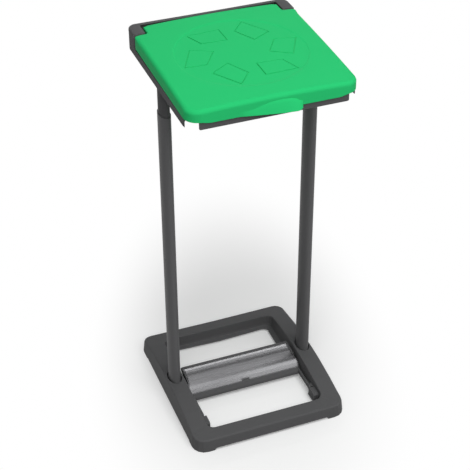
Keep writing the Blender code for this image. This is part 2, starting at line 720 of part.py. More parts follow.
def pedal_carrier(material):
    """The pedal's moulding: body, cheeks with arms and pins, ears for the rods and the plate's clip."""
    carrier = carrier_body()
    clip_top = plate_height(PLATE_FRONT_Y, PLATE_RADIUS) + PLATE_THICKNESS
    clip_rear = clip_front() - CLEARANCE * 2
    clip = [(PLATE_FRONT_Y - CARRIER_WALL, clip_top - CARRIER_WALL * 2)]
    clip += [(PLATE_FRONT_Y - CARRIER_WALL / 2, clip_top)]
    clip += [(clip_rear, clip_top + PLATE_THICKNESS), (clip_rear, clip_top - CARRIER_WALL)]
    join(carrier, prism_x("clip", clip, -CLIP_WIDTH / 2, CLIP_WIDTH / 2))
    outer = arm_outer_x()
    for side in (-1, 1):
        inner = PLATE_LENGTH / 2 + CLEARANCE
        join(carrier, prism_x("cheek", cheek_outline(), side * inner, side * outer))
        bore = (PEDAL_AXIS_Y, PEDAL_AXIS_Z)
        tip = side * (outer + PIVOT_PIN_LENGTH)
        join(carrier, disc_x("pin", bore, PIVOT_PIN_RADIUS, side * (outer - CARRIER_WALL), tip))
        ear_y = (POST_Y - EAR_HALF_DEPTH, POST_Y + EAR_HALF_DEPTH)
        ear_z = (EAR_BOTTOM, EAR_BOTTOM + EAR_THICKNESS)
        reach = POST_X + ROD_RADIUS + ROD_HOLE_SPARE + CARRIER_WALL / 2
        join(carrier, box("ear", sorted((side * (inner + CLEARANCE), side * reach)), ear_y, ear_z))
        web = [(POST_Y - EAR_HALF_DEPTH, EAR_BOTTOM), (POST_Y + EAR_HALF_DEPTH, EAR_BOTTOM),
               (POST_Y + EAR_HALF_DEPTH, plate_height(POST_Y, PLATE_RADIUS) - CARRIER_WALL),
               (POST_Y - EAR_HALF_DEPTH, plate_height(POST_Y, PLATE_RADIUS) - CARRIER_WALL)]
        join(carrier, prism_x("web", web, side * (inner + CLEARANCE), side * (outer - CLEARANCE)))
        hole = ROD_RADIUS + ROD_HOLE_SPARE
        ends = (EAR_BOTTOM - BEYOND / 2, EAR_BOTTOM + EAR_THICKNESS + BEYOND / 2)
        cut(carrier, disc_z("hole", (side * POST_X, POST_Y), hole, *ends))
    return settle(carrier, PEDAL_AXIS, material)


def lever_front_top():
    """Height of the lever's top face over the rod."""
    return LEVER_PIVOT_Z + LEVER_HEIGHT / 2


def lift_rod(name, side, material):
    """A steel rod with a head at each end, from the pedal's ear to the lever."""
    centre = (side * POST_X, POST_Y)
    foot = EAR_BOTTOM - ROD_HEAD_GAP - ROD_HEAD_HEIGHT
    head = lever_front_top() + ROD_HEAD_GAP
    rod = disc_z(name, centre, ROD_RADIUS, foot + ROD_HEAD_HEIGHT / 2, head + ROD_HEAD_HEIGHT / 2, 12)
    join(rod, disc_z("foot", centre, ROD_HEAD_RADIUS, foot, foot + ROD_HEAD_HEIGHT))
    join(rod, disc_z("head", centre, ROD_HEAD_RADIUS, head, head + ROD_HEAD_HEIGHT))
    return settle(rod, (*centre, foot), material)


def rod_guide(name, side, material):
    """An oval plug in the spigot's mouth that keeps the rod in the middle of the tube."""
    centre = (side * POST_X, POST_Y)
    outline = oval(centre, SPIGOT_BORE_WIDTH - CLEARANCE, SPIGOT_BORE_DEPTH - CLEARANCE)
    guide = prism_z(name, outline, SPIGOT_BOTTOM, SPIGOT_BOTTOM + GUIDE_HEIGHT)
    hole = disc_z("hole", centre, ROD_RADIUS + PIN_CLEARANCE, SPIGOT_BOTTOM - BEYOND, HEAD_BOTTOM, 16)
    cut(guide, hole)
    return settle(guide, (*centre, SPIGOT_BOTTOM), material)


def head_section(outer, inner, width):
    """Section of the head's open channel: a ledge for the lid outside, and higher walls at the rear."""
    wall = HEAD_WALL
    ease = wall / 2
    rear = outer.y > HOOD_FRONT
    rim = HEAD_REAR_RIM if rear else HEAD_RIM
    step = 0 if rear else HEAD_LEDGE_DEPTH
    shelf = 0 if rear else wall
    inner_rim = HEAD_REAR_INNER_RIM if inner.y > HOOD_FRONT - CLEARANCE * 2 else HEAD_RIM
    floor = HEAD_BOTTOM + HEAD_FLOOR
    return [
        (0, HEAD_BOTTOM + ease),
        (0, HEAD_LEDGE - ease),
        (min(step, ease / 2), HEAD_LEDGE - ease / 4),
        (step, HEAD_LEDGE),
        (step, rim - ease / 2),
        (step + ease / 2, rim),
        (step + wall, rim),
        (step + wall, HEAD_LEDGE - shelf),
        (wall, HEAD_LEDGE - wall * 1.2),
        (wall, floor),
        (width - wall, floor),
        (width - wall, inner_rim),
        (width, inner_rim),
        (width, HEAD_BOTTOM),
        (ease, HEAD_BOTTOM),
    ]


def head_loops():
    """The head's matching outer and inner plan loops."""
    low, high = HEAD_FRONT + HEAD_FRONT_CORNER, HEAD_REAR - HEAD_REAR_CORNER
    run = (high - low) / 2
    middle = (high + low) / 2
    steps = [HOOD_FRONT - CLEARANCE, HOOD_FRONT + CLEARANCE]
    even = [run * share + middle for share in (-0.5, 0.0, 0.5)]
    side_marks = sorted([-1.0, 1.0] + marks_for(steps + even, run, middle))
    end_marks = [-1.0, -0.5, 0.0, 0.5, 1.0]
    corners = (HEAD_FRONT_CORNER, HEAD_REAR_CORNER)
    outer = rounded_loop(HEAD_HALF, (HEAD_FRONT, HEAD_REAR), corners, side_marks, end_marks)

    front, rear = HEAD_FRONT + HEAD_FRONT_CHANNEL, HEAD_REAR - HEAD_REAR_CHANNEL
    low, high = front + HEAD_INNER_CORNER, rear - HEAD_INNER_CORNER
    run = (high - low) / 2
    middle = (high + low) / 2
    steps = [high - CLEARANCE * 5, high - CLEARANCE * 3]
    inner_marks = sorted([-1.0, 1.0] + marks_for(steps + even, run, middle))
    corners = (HEAD_INNER_CORNER, HEAD_INNER_CORNER)
    inner = rounded_loop(HEAD_HALF - HEAD_SIDE_CHANNEL, (front, rear), corners, inner_marks, end_marks)
    return outer, inner


def rounding_section(outer, inner, width):
    """Section of the tool that rounds the hoods' outer upper edge."""
    top = HEAD_REAR_RIM + HOOD_RISE
    radius = HOOD_EDGE_ROUND
    curve = arc((radius, top - radius), radius, 180, 90, 3)
    return [(-BEYOND, top - radius), *curve, (radius, top + BEYOND), (-BEYOND, top + BEYOND)]


def cut_front_corner(frame, side):
    """The gap between the front bar and a side wall, and the end of the side channel's floor."""
    bar = FRONT_BAR_HALF
    radius = FRONT_BAR_ROUND
    far = HEAD_HALF + BEYOND
    outline = [(far, HEAD_BOTTOM - BEYOND), (bar - radius, HEAD_BOTTOM - BEYOND)]
    outline += arc((bar - radius, HEAD_BOTTOM + radius), radius, 270, 360, 4)
    outline += [(bar, CORNER_LINK_BOTTOM - radius), (bar + radius / 3, CORNER_LINK_BOTTOM - radius / 3)]
    outline += [(bar + radius, CORNER_LINK_BOTTOM), (far, CORNER_LINK_BOTTOM)]
    outline = [(side * x, z) for x, z in outline]
    cut(frame, prism_y("gap", outline, HEAD_FRONT - BEYOND, SIDE_WALL_FRONT))
    floor_x = sorted((side * FRONT_FLOOR_HALF, side * (HEAD_HALF - HEAD_WALL)))
    floor_y = (HEAD_FRONT + HEAD_WALL, SIDE_FLOOR_FRONT)
    cut(frame, box("floor_end", floor_x, floor_y, (HEAD_BOTTOM - BEYOND, HEAD_LEDGE - HEAD_WALL * 2)))


def add_hood(frame, side):
    """The raised hood on a rear corner, with its inner wall and front lip."""
    wall = HEAD_WALL
    top = HEAD_REAR_RIM + HOOD_RISE
    edge = HEAD_HALF - wall / 2
    radius = HEAD_REAR_CORNER - wall / 2
    rear = HEAD_REAR - wall / 2
    plan = [(HOOD_INNER_X, HOOD_FRONT), (edge, HOOD_FRONT)]
    plan += arc((edge - radius, rear - radius), radius, 0, 90, CORNER_STEPS)
    plan += [(HOOD_INNER_X, rear)]
    plan = [(side * x, y) for x, y in plan]
    join(frame, prism_z("hood", plan, top - HOOD_ROOF, top))
    inner_x = sorted((side * HOOD_INNER_X, side * (HOOD_INNER_X + wall)))
    floor = HEAD_BOTTOM + HEAD_FLOOR / 2
    join(frame, box("hood_side", inner_x, (HOOD_FRONT, rear), (floor, top - wall)))
    lip_x = sorted((side * (HOOD_INNER_X + wall / 2), side * edge))
    join(frame, box("hood_lip", lip_x, (HOOD_FRONT, HOOD_FRONT + wall), (HOOD_LIP_BOTTOM, top - wall)))


def add_hinge_bearing(frame, side):
    """The boss and bores in a hood that the lid's axle turns in."""
    bearing = (HINGE_Y, HINGE_Z)
    bore = AXLE_RADIUS + PIN_CLEARANCE
    boss_in = HEAD_HALF - HEAD_WALL - AXLE_BOSS_LENGTH
    boss_out = HEAD_HALF - HEAD_WALL / 2
    join(frame, disc_x("boss", bearing, bore + AXLE_BOSS_WALL, side * boss_in, side * boss_out))
    cut(frame, disc_x("bore", bearing, bore, side * (HOOD_INNER_X - BEYOND), side * (HEAD_HALF - HEAD_WALL)))


def add_lever_brackets(frame, side):
    """Two ears on the channel's floor that hold the lever's pin."""
    offset = LEVER_THICKNESS / 2 + BRACKET_GAP
    top = LEVER_PIVOT_Z + BRACKET_TOP_SPARE + LEVER_PIN_RADIUS
    y_range = (LEVER_PIVOT_Y - BRACKET_HALF_DEPTH, LEVER_PIVOT_Y + BRACKET_HALF_DEPTH)
    for way in (-1, 1):
        start = side * POST_X + way * offset
        end = start + way * BRACKET_THICKNESS
        join(frame, box("bracket", sorted((start, end)), y_range, (HEAD_BOTTOM + HEAD_FLOOR / 2, top)))
    reach = offset + BRACKET_THICKNESS + BEYOND / 5
    hole = LEVER_PIN_RADIUS + PIN_CLEARANCE
    centre = (LEVER_PIVOT_Y, LEVER_PIVOT_Z)
    cut(frame, disc_x("hole", centre, hole, side * POST_X - reach, side * POST_X + reach))


def add_spigot(frame, side):
    """The hollow stub that plugs into a post."""
    centre = (side * POST_X, POST_Y)
    outer = oval(centre, SPIGOT_HALF_WIDTH, SPIGOT_HALF_DEPTH)
    join(frame, prism_z("spigot", outer, SPIGOT_BOTTOM, HEAD_BOTTOM + HEAD_FLOOR / 2))
    bore = oval(centre, SPIGOT_BORE_WIDTH, SPIGOT_BORE_DEPTH)
    cut(frame, prism_z("bore", bore, SPIGOT_BOTTOM - BEYOND, HEAD_BOTTOM + HEAD_FLOOR + BEYOND / 2))


def buffer_base():
    """Top of the pillars that carry the rubber buffers."""
    return lid_top(BUFFER_X, BUFFER_Y) - LID_WALL - BUFFER_GAP - CLEARANCE - BUFFER_HEIGHT


def head_frame(material):
    """The head: channel ring, corner gaps, hoods, spigots, lever brackets and buffer pillars."""
    outer, inner = head_loops()
    frame = closed_sweep("head_frame", ring_stations(outer, inner, head_section))
    for side in (-1, 1):
        cut_front_corner(frame, side)
        add_hood(frame, side)
    cut(frame, closed_sweep("rounding", ring_stations(outer, inner, rounding_section)))
    for side in (-1, 1):
        add_hinge_bearing(frame, side)
        add_spigot(frame, side)
        add_lever_brackets(frame, side)
        place = (side * BUFFER_X, BUFFER_Y)
        top = buffer_base()
        join(frame, disc_z("pillar", place, BUFFER_PILLAR_RADIUS, HEAD_BOTTOM + HEAD_FLOOR / 2, top))
        stem = BUFFER_STEM_RADIUS + CLEARANCE
        bottom = top - BUFFER_STEM_LENGTH - CLEARANCE
        cut(frame, disc_z("stem_hole", place, stem, bottom, top + BEYOND, STEM_STEPS))
    return settle(frame, (0, POST_Y, HEAD_BOTTOM), material)


def lid_buffer(name, side, material):
    """A rubber button that the lid comes down on."""
    place = (side * BUFFER_X, BUFFER_Y)
    bottom = buffer_base() + CLEARANCE
    button = disc_z(name, place, BUFFER_RADIUS, bottom, bottom + BUFFER_HEIGHT)
    stem_bottom = bottom - BUFFER_STEM_LENGTH
    stem_top = bottom + BUFFER_HEIGHT / 2
    join(button, disc_z("stem", place, BUFFER_STEM_RADIUS, stem_bottom, stem_top, STEM_STEPS))
    return settle(button, (*place, bottom), material)


def lever(name, side, material):
    """The lever that turns the rod's pull into a push under the hinge crank."""
    half = LEVER_HEIGHT / 2
    front = POST_Y - LEVER_END_SPARE
    nose_under = CRANK_NOSE_Z - CRANK_NOSE_RADIUS - CRANK_GAP
    rear = CRANK_NOSE_Y + CRANK_NOSE_RADIUS * 1.6
    level = LEVER_PIVOT_Z
    outline = [(rear, nose_under - half), (rear, nose_under), (rear - LEVER_HEIGHT, nose_under)]
    hub = arc((LEVER_PIVOT_Y, level), LEVER_HUB_RADIUS, 50, 130, 4)
    outline += hub
    outline += [(front + half / 2, level + half), (front, level + half / 2)]
    outline += [(front, level - half / 2), (front + half / 2, level - half)]
    outline += arc((LEVER_PIVOT_Y, level), LEVER_HUB_RADIUS, 230, 310, 4)
    outline += [(rear - LEVER_HEIGHT, nose_under - LEVER_HEIGHT)]
    x = side * POST_X
    bar = prism_x(name, outline, x - LEVER_THICKNESS / 2, x + LEVER_THICKNESS / 2)
    pin_hole = LEVER_PIN_RADIUS + PIN_CLEARANCE
    centre = (LEVER_PIVOT_Y, level)
    cut(bar, disc_x("pin_hole", centre, pin_hole, x - LEVER_THICKNESS, x + LEVER_THICKNESS))
    slot = oval((x, POST_Y), ROD_RADIUS + PIN_CLEARANCE * 1.5, LEVER_SLOT_HALF, 16)
    cut(bar, prism_z("slot", slot, level - LEVER_HEIGHT, level + LEVER_HEIGHT))
    return settle(bar, (x, LEVER_PIVOT_Y, LEVER_PIVOT_Z), material)


def lever_pin(name, side, material):
    """The steel pin of a lever."""
    reach = LEVER_THICKNESS / 2 + BRACKET_GAP + BRACKET_THICKNESS + PIN_OVERHANG
    x = side * POST_X
    pin = disc_x(name, (LEVER_PIVOT_Y, LEVER_PIVOT_Z), LEVER_PIN_RADIUS, x - reach, x + reach)
    return settle(pin, (x, LEVER_PIVOT_Y, LEVER_PIVOT_Z), material)


def hinge_crank(name, side, material):
    """The lid's steel axle on one side, with the short crank whose pin the lever lifts."""
    bearing = (HINGE_Y, HINGE_Z)
    end = HEAD_HALF - HEAD_WALL - AXLE_END_GAP
    crank = disc_x(name, bearing, AXLE_RADIUS, side * AXLE_INNER_X, side * end)
    down = math.degrees(CRANK_DROP_ANGLE)
    outline = arc(bearing, CRANK_HUB_RADIUS, down + 285, down + 435, 8)
    outline += arc((CRANK_NOSE_Y, CRANK_NOSE_Z), CRANK_NOSE_RADIUS, down + 105, down + 255, 6)
    inner = POST_X + LEVER_THICKNESS / 2 + BRACKET_GAP
    join(crank, prism_x("arm", outline, side * inner, side * (inner + CRANK_THICKNESS)))
    nose = (CRANK_NOSE_Y, CRANK_NOSE_Z)
    pin_start = side * (POST_X - LEVER_THICKNESS / 2)
    join(crank, disc_x("nose", nose, CRANK_NOSE_RADIUS, pin_start, side * (inner + CRANK_THICKNESS / 2), 16))
    return settle(crank, (0, HINGE_Y, HINGE_Z), material)


def lid_top(x, y):
    """Height of the lid's crowned top."""
    side = (x / LID_HALF) ** 2
    along = ((y - LID_CROWN_REFERENCE_Y) / LID_CROWN_SPAN) ** 2
    return LID_CREST - LID_CROWN_SIDE * side - LID_CROWN_FRONT * along


def lip_share(x):
    """Share of the hand lip's full reach at a place along the front."""
    if x <= LIP_LEFT or x >= LIP_RIGHT:
        return 0.0
    if x < LIP_CREST:
        return 1 - ((LIP_CREST - x) / (LIP_CREST - LIP_LEFT)) ** 1.3
    return math.sqrt(1 - ((x - LIP_CREST) / (LIP_RIGHT - LIP_CREST)) ** 2)


def scoop_height(x):
    """How far the scoop above the hand lip reaches up the skirt."""
    if x <= LIP_LEFT or x >= LIP_RIGHT:
        return 0.0
    if x < LIP_SCOOP_CREST:
        return LIP_SCOOP_HEIGHT * math.cos(math.pi / 2 * (LIP_SCOOP_CREST - x) / (LIP_SCOOP_CREST - LIP_LEFT))
    return LIP_SCOOP_HEIGHT * math.sqrt(1 - ((x - LIP_SCOOP_CREST) / (LIP_RIGHT - LIP_SCOOP_CREST)) ** 2)


def skirt_bottom(x, y):
    """Height of the skirt's lower edge at a point of the lid's outline, without the hand lip."""
    if y > LID_SIDE_REAR - LID_NOTCH_ROUND * 0.9:
        return LID_REAR_BOTTOM
    along = (y - LID_FRONT - LID_CORNER) / (LID_SIDE_REAR - LID_FRONT - LID_CORNER)
    side = LID_SIDE_BOTTOM_FRONT + (LID_SIDE_BOTTOM_REAR - LID_SIDE_BOTTOM_FRONT) * max(along, 0.0)
    share = min(max((abs(x) - LID_DEEP_FRONT_HALF) / LID_DEEP_FRONT_EASE, 0.0), 1.0)
    if y > LID_FRONT + LID_CORNER:
        share = 1.0
    ease = share * share * (3 - 2 * share)
    return LID_FRONT_BOTTOM + (side - LID_FRONT_BOTTOM) * ease


def lid_outline(inset=0.0, rear_inset=0.0):
    """Plan points of the lid, counter-clockwise from the middle of its front, moved in from its edges.

    The inset is that of the front and sides, the rear inset that of the notches and the tongue.
    """
    front = LID_FRONT + inset
    half = LID_HALF - inset
    radius = LID_CORNER - inset
    scale = (half - radius) / (LID_HALF - LID_CORNER)
    lip_marks = [LIP_LEFT + (LIP_RIGHT - LIP_LEFT) * share for share in (0.15, 0.35, 0.6, 0.8, 0.92, 0.985)]
    deep = LID_DEEP_FRONT_HALF
    front_marks = [-deep, -deep * 0.75, LIP_LEFT, *lip_marks, LIP_RIGHT + CLEARANCE, deep * 0.7, deep]
    points = [(x * scale, front) for x in front_marks]
    points += arc((half - radius, front + radius), radius, 270, 360, 7)
    right = []
    side_front = front + radius
    side_rear = LID_SIDE_REAR - rear_inset
    small = LID_NOTCH_ROUND - rear_inset
    run = side_rear - small - side_front
    right += [(half, side_front + run * share) for share in (0.25, 0.5, 0.75, 0.97)]
    right += arc((half - small, side_rear - small), small, 0, 90, 2)
    tongue = LID_TONGUE_HALF - rear_inset
    wide = LID_NOTCH_ROUND + rear_inset
    right += arc((tongue + wide, side_rear + wide), wide, 270, 180, 2)
    big = LID_TONGUE_ROUND - rear_inset
    right += arc((tongue - big, LID_TONGUE_REAR - rear_inset - big), big, 0, 90, 4)
    right += [(tongue * share, LID_TONGUE_REAR - rear_inset) for share in (0.6, 0.3)]
    points += right
    points += [(0, LID_TONGUE_REAR - rear_inset)]
    points += [(-x, y) for x, y in reversed(right)]
    points += [(-x, y) for x, y in reversed(arc((half - radius, front + radius), radius, 270, 360, 7))]
    return points


def skirt_row(level, inside=0.0):
    """A row round the skirt, from its lower edge at level 0 to the foot of the rounded edge at level 1."""
    row = []
    knee = SCOOP_LEVEL
    for (x, y), (px, py) in zip(lid_outline(), lid_outline(inside, inside)):
        at_front = y < LID_FRONT + CLEARANCE
        low = skirt_bottom(x, y)
        high = lid_top(x, y) - edge_round(y) * LID_EDGE_DROP
        bend = low + (high - low) * knee
        reach = 0.0
        if at_front:
            bend = max(bend, low + scoop_height(x))
            low -= LIP_DROP * lip_share(x)
            reach = LIP_REACH * lip_share(x) * max(1 - level / knee, 0.0)
        if level < knee:
            z = low + (bend - low) * level / knee
        else:
            z = bend + (high - bend) * (level - knee) / (1 - knee)
        row.append((px, py - reach, z - inside * level / 2))
    return row


def edge_round(y):
    """Radius of the lid's upper edge: soft at the front and sides, crisp at the notches and the tongue."""
    return LID_EDGE_ROUND if y < LID_SIDE_REAR - LID_NOTCH_ROUND - CLEARANCE else LID_NOTCH_EDGE_ROUND


def edge_row(inset_share, drop_share, inside=0.0):
    """A row round the rounded upper edge, in shares of its radius."""
    inset = LID_EDGE_ROUND * inset_share + inside * 0.7
    rear_inset = LID_NOTCH_EDGE_ROUND * inset_share + inside * 0.7
    row = []
    for (x, y), (px, py) in zip(lid_outline(), lid_outline(inset, rear_inset)):
        row.append((px, py, lid_top(px, py) - edge_round(y) * LID_EDGE_DROP * drop_share - inside))
    return row


def disc_row(share, radius, depth):
    """A row on the lid's top, between its rounded edge and a circle about the recess."""
    centre = Vector((0, RECESS_Y))
    row = []
    for point in lid_outline(LID_EDGE_ROUND, LID_NOTCH_EDGE_ROUND):
        ray = (Vector(point) - centre).normalized()
        spot = Vector(point).lerp(centre + ray * radius, share)
        row.append((spot.x, spot.y, lid_top(spot.x, spot.y) - depth))
    return row


def lid_rows():
    """Rows over the outside from the skirt's lower edge to the recess, and rows back inside."""
    floor = RECESS_DEPTH
    inner_radius = RECESS_RADIUS - RECESS_DEPTH
    middle = RECESS_RADIUS * 0.5
    outside = [skirt_row(level) for level in (0.0, SCOOP_LEVEL, 1.0)]
    outside += [edge_row(0.08, 0.62), edge_row(0.3, 0.26), edge_row(0.62, 0.06)]
    outside += [disc_row(0.0, RECESS_RADIUS, 0), disc_row(0.5, RECESS_RADIUS, 0)]
    outside += [disc_row(1.0, RECESS_RADIUS, 0), disc_row(1.0, inner_radius, floor)]
    outside += [disc_row(1.0, middle, floor)]
    under = floor + LID_WALL
    inside = [disc_row(1.0, RECESS_RADIUS, under)]
    inside += [edge_row(1.0, 0.0, LID_WALL), edge_row(0.35, 0.25, LID_WALL)]
    inside += [skirt_row(level, LID_WALL) for level in (1.0, SCOOP_LEVEL, 0.0)]
    return outside, inside


def skin(bm, first, second):
    """Faces between two closed rows of vertices."""
    pairs = list(zip(first, second))
    for (a, b), (c, d) in zip(pairs, pairs[1:] + pairs[:1]):
        bm.faces.new((a, c, d, b))


def close_fan(bm, row, point):
    """Close a row of vertices with a fan about one point."""
    middle = bm.verts.new(point)
    for a, b in zip(row, row[1:] + row[:1]):
        bm.faces.new((a, b, middle))


def lid_shell():
    """The lid's shell, skinned over its rows."""
    bm = bmesh.new()
    outside, inside = lid_rows()
    outside = [[bm.verts.new(point) for point in row] for row in outside]
    inside = [[bm.verts.new(point) for point in row] for row in inside]
    for rows in (outside, inside):
        for first, second in zip(rows, rows[1:]):
            skin(bm, first, second)
    skin(bm, inside[-1], outside[0])
    floor = lid_top(0, RECESS_Y) - RECESS_DEPTH
    close_fan(bm, outside[-1], (0, RECESS_Y, floor))
    close_fan(bm, inside[0], (0, RECESS_Y, floor - LID_WALL))
    return make_object("lid", bm)


def panel(number):
    """One raised panel of the rosette in the lid's recess."""
    turn = math.tau * number / PANEL_COUNT
    bm = bmesh.new()
    low = []
    high = []
    for inset, degrees in PANEL_CORNERS:
        radius = RECESS_RADIUS - inset
        angle = turn + math.radians(degrees)
        x = radius * math.cos(angle)
        y = RECESS_Y + radius * math.sin(angle)
        floor = lid_top(x, y) - RECESS_DEPTH
        low.append(bm.verts.new((x, y, floor - LID_WALL / 2)))
        high.append(bm.verts.new((x, y, floor + PANEL_HEIGHT)))
    bm.faces.new(low)
    bm.faces.new(high)
    for index in range(len(PANEL_CORNERS)):
        after = (index + 1) % len(PANEL_CORNERS)
        bm.faces.new((low[index], low[after], high[after], high[index]))
    return make_object("panel", bm)


def lid(material):
    """The lid: shell, rosette and hinge barrels."""
    shell = lid_shell()
    for number in range(PANEL_COUNT):
        join(shell, panel(number))
    bearing = (HINGE_Y, HINGE_Z)
    for side in (-1, 1):
        start = side * (LID_TONGUE_HALF - LID_WALL / 4)
        end = side * (LID_TONGUE_HALF - BARREL_LENGTH)
        join(shell, disc_x("barrel", bearing, BARREL_RADIUS, start, end))
        top = lid_top(LID_TONGUE_HALF, HINGE_Y) - LID_WALL / 2
        web_y = (HINGE_Y - BARREL_RADIUS * 0.6, HINGE_Y + BARREL_RADIUS * 0.6)
        join(shell, box("web", sorted((start, end)), web_y, (HINGE_Z, top)))
        bore_start = side * (LID_TONGUE_HALF + BEYOND)
        bore_end = side * (AXLE_INNER_X - CLEARANCE)
        cut(shell, disc_x("bore", bearing, AXLE_RADIUS + CLEARANCE, bore_start, bore_end))
    return settle(shell, (0, HINGE_Y, HINGE_Z), material)


def pivot(name, place):
    """An empty on a joint's axis."""
    empty = bpy.data.objects.new(name, None)
    empty.empty_display_size = 0.03
    empty.location = place
    bpy.context.scene.collection.objects.link(empty)
    return empty


def parent_to(holder, *items):
    """Hang pieces on a holder without moving them."""
    bpy.context.view_layer.update()
    for item in items:
        item.parent = holder
        item.matrix_parent_inverse = holder.matrix_world.inverted()


def build():
    """Make every piece and hang the moving ones on their axes."""
    clear_scene()
    dark = (0.072, 0.072, 0.074)
    grey = (0.3, 0.3, 0.3)
    black = (0.02, 0.02, 0.02)
    steel = (0.45, 0.45, 0.46)
    frame = base_frame(finish_material("base_plastic", dark, 0.5))
    for place_name, place in pad_places().items():
        rubber = finish_material("pad_rubber_" + place_name, black, 0.85)
        pad = foot_pad("foot_pad_" + place_name, place, rubber)
        parent_to(frame, pad)
    carrier = pedal_carrier(finish_material("carrier_plastic", dark, 0.5))
    plate = pedal_plate(finish_material("plate_steel", (0.52, 0.52, 0.53), 0.3, 1.0))
    parent_to(pivot("pedal_axis", PEDAL_AXIS), carrier, plate)
    head = head_frame(finish_material("head_plastic", dark, 0.5))
    lid_item = lid(finish_material("lid_plastic", (0.035, 0.62, 0.19), 0.4))
    lid_pivot = pivot("lid_axis", HINGE)
    parent_to(lid_pivot, lid_item)
    for side, word in ((-1, "left"), (1, "right")):
        coating = finish_material("post_coating_" + word, dark, 0.45)
        tube = post("post_" + word, side, coating)
        plug = finish_material("guide_plastic_" + word, grey, 0.5)
        guide = rod_guide("rod_guide_" + word, side, plug)
        lift_rod("lift_rod_" + word, side, finish_material("rod_steel_" + word, steel, 0.35, 1.0))
        bar = lever("lever_" + word, side, finish_material("lever_plastic_" + word, dark, 0.5))
        pin = lever_pin("lever_pin_" + word, side, finish_material("pin_steel_" + word, steel, 0.3, 1.0))
        axle = finish_material("crank_steel_" + word, steel, 0.3, 1.0)
        crank = hinge_crank("hinge_crank_" + word, side, axle)
        rubber = finish_material("buffer_rubber_" + word, black, 0.85)
        button = lid_buffer("lid_buffer_" + word, side, rubber)
        parent_to(frame, tube)
        parent_to(head, guide, pin, button)
        parent_to(pivot("lever_axis_" + word, Vector((side * POST_X, *LEVER_PIVOT.yz))), bar)
        parent_to(lid_pivot, crank)


build()
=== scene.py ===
"""Pedal bin bag holder, dressed for its picture: materials for every CAD piece, the lid with its full relief,
the rear rim of the head, stage, lamps and camera.

Metres, +Z up, front towards -Y. Run it in Blender's text editor or with blender --background --python.
"""
import math
from typing import NamedTuple

import bmesh
import bpy
from mathutils import Matrix, Vector


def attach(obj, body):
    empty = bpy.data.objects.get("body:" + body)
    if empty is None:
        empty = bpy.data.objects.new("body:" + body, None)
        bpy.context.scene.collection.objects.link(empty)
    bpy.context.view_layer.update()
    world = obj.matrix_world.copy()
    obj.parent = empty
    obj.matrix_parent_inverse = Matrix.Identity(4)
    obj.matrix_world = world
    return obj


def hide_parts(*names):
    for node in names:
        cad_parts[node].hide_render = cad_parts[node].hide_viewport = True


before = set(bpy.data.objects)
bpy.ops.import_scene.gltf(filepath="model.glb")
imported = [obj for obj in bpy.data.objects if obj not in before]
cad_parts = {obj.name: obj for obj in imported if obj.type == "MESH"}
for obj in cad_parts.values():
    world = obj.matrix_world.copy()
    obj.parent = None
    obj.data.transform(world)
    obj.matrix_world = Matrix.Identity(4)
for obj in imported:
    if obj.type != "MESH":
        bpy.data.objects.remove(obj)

bl_info = {
    "name": "Bin bag holder",
    "version": (1, 0, 0),
    "blender": (4, 5, 0),
    "location": "3D View > Sidebar > Holder",
    "description": "Dresses the pedal bin bag holder and sets its stage",
    "category": "Object",
}

MM = 0.001
SIDES = ("left", "right")
QUAD = [(0, 1, 2, 3)]
WHITE = (1, 1, 1, 1)

# Surface detail: depths of relief, patches of colour per metre for patches of 70, 6 and 4.5 mm, the round of
# the pedal plate's bends as it catches light, and the width of the painted highlight along edges in edge
# radii
GRAIN_DEPTH = 0.00004
GRAIN_DEPTH_LID = 0.00003
GRAIN_DEPTH_GUIDE = 0.00002
RIPPLE_DEPTH = 0.00005
BRUSH_DEPTH = 0.00003
BLOOM_DEPTH = 0.0001
COLOUR_PATCHES = 14.0
PLATING_PATCHES = 160.0
BLOOM_PATCHES = 220.0
BEND_ROUND = 0.006
EDGE_HIGHLIGHT_WIDTH = 4

# Plan and heights of the lid, as the CAD lid has them; a rounded edge is its radius times LID_EDGE_DROP high,
# and inside it the wall moves in by LID_INSIDE_EDGE of its thickness
LID_WALL = 0.0026
LID_HALF = 0.2028
LID_FRONT = -0.2125
LID_CORNER = 0.033
LID_SIDE_REAR = 0.1606
LID_TONGUE = 0.1695
LID_TONGUE_REAR = 0.2048
LID_TONGUE_ROUND = 0.016
LID_NOTCH = 0.006
LID_SIDE_BOTTOM_REAR = 0.9652
LID_SIDE_BOTTOM_FRONT = 0.9613
LID_FRONT_BOTTOM = 0.957
LID_REAR_BOTTOM = 0.983
LID_DEEP_FRONT = 0.15
LID_DEEP_EASE = 0.026
LID_CREST = 1.0012
LID_CROWN_SIDE = 0.0055
LID_CROWN_FRONT = 0.0065
LID_CROWN_REFERENCE = 0.13
LID_CROWN_SPAN = 0.3
LID_EDGE = 0.0095
LID_NOTCH_EDGE = 0.0028
LID_TAIL_EDGE = 0.0095
LID_EDGE_DROP = 0.95
LID_INSIDE_EDGE = 0.7
LID_SHARP = 30

# Hand lip at the lid's front, and the scoop above it; levels run from 0 at the skirt's lower edge to 1 at
# its top, and the lip fades out towards LIP_FADE_LEVEL
LIP_LEFT = -0.084
LIP_CREST = 0.046
LIP_RIGHT = 0.063
LIP_REACH = 0.0146
LIP_DROP = 0.005
LIP_TAPER = 1.3
LIP_FADE_LEVEL = 0.42
LIP_FADE_POWER = 0.85
SCOOP_RISE = 0.0235
SCOOP_CREST = 0.015
SCOOP_LEVEL = 0.4

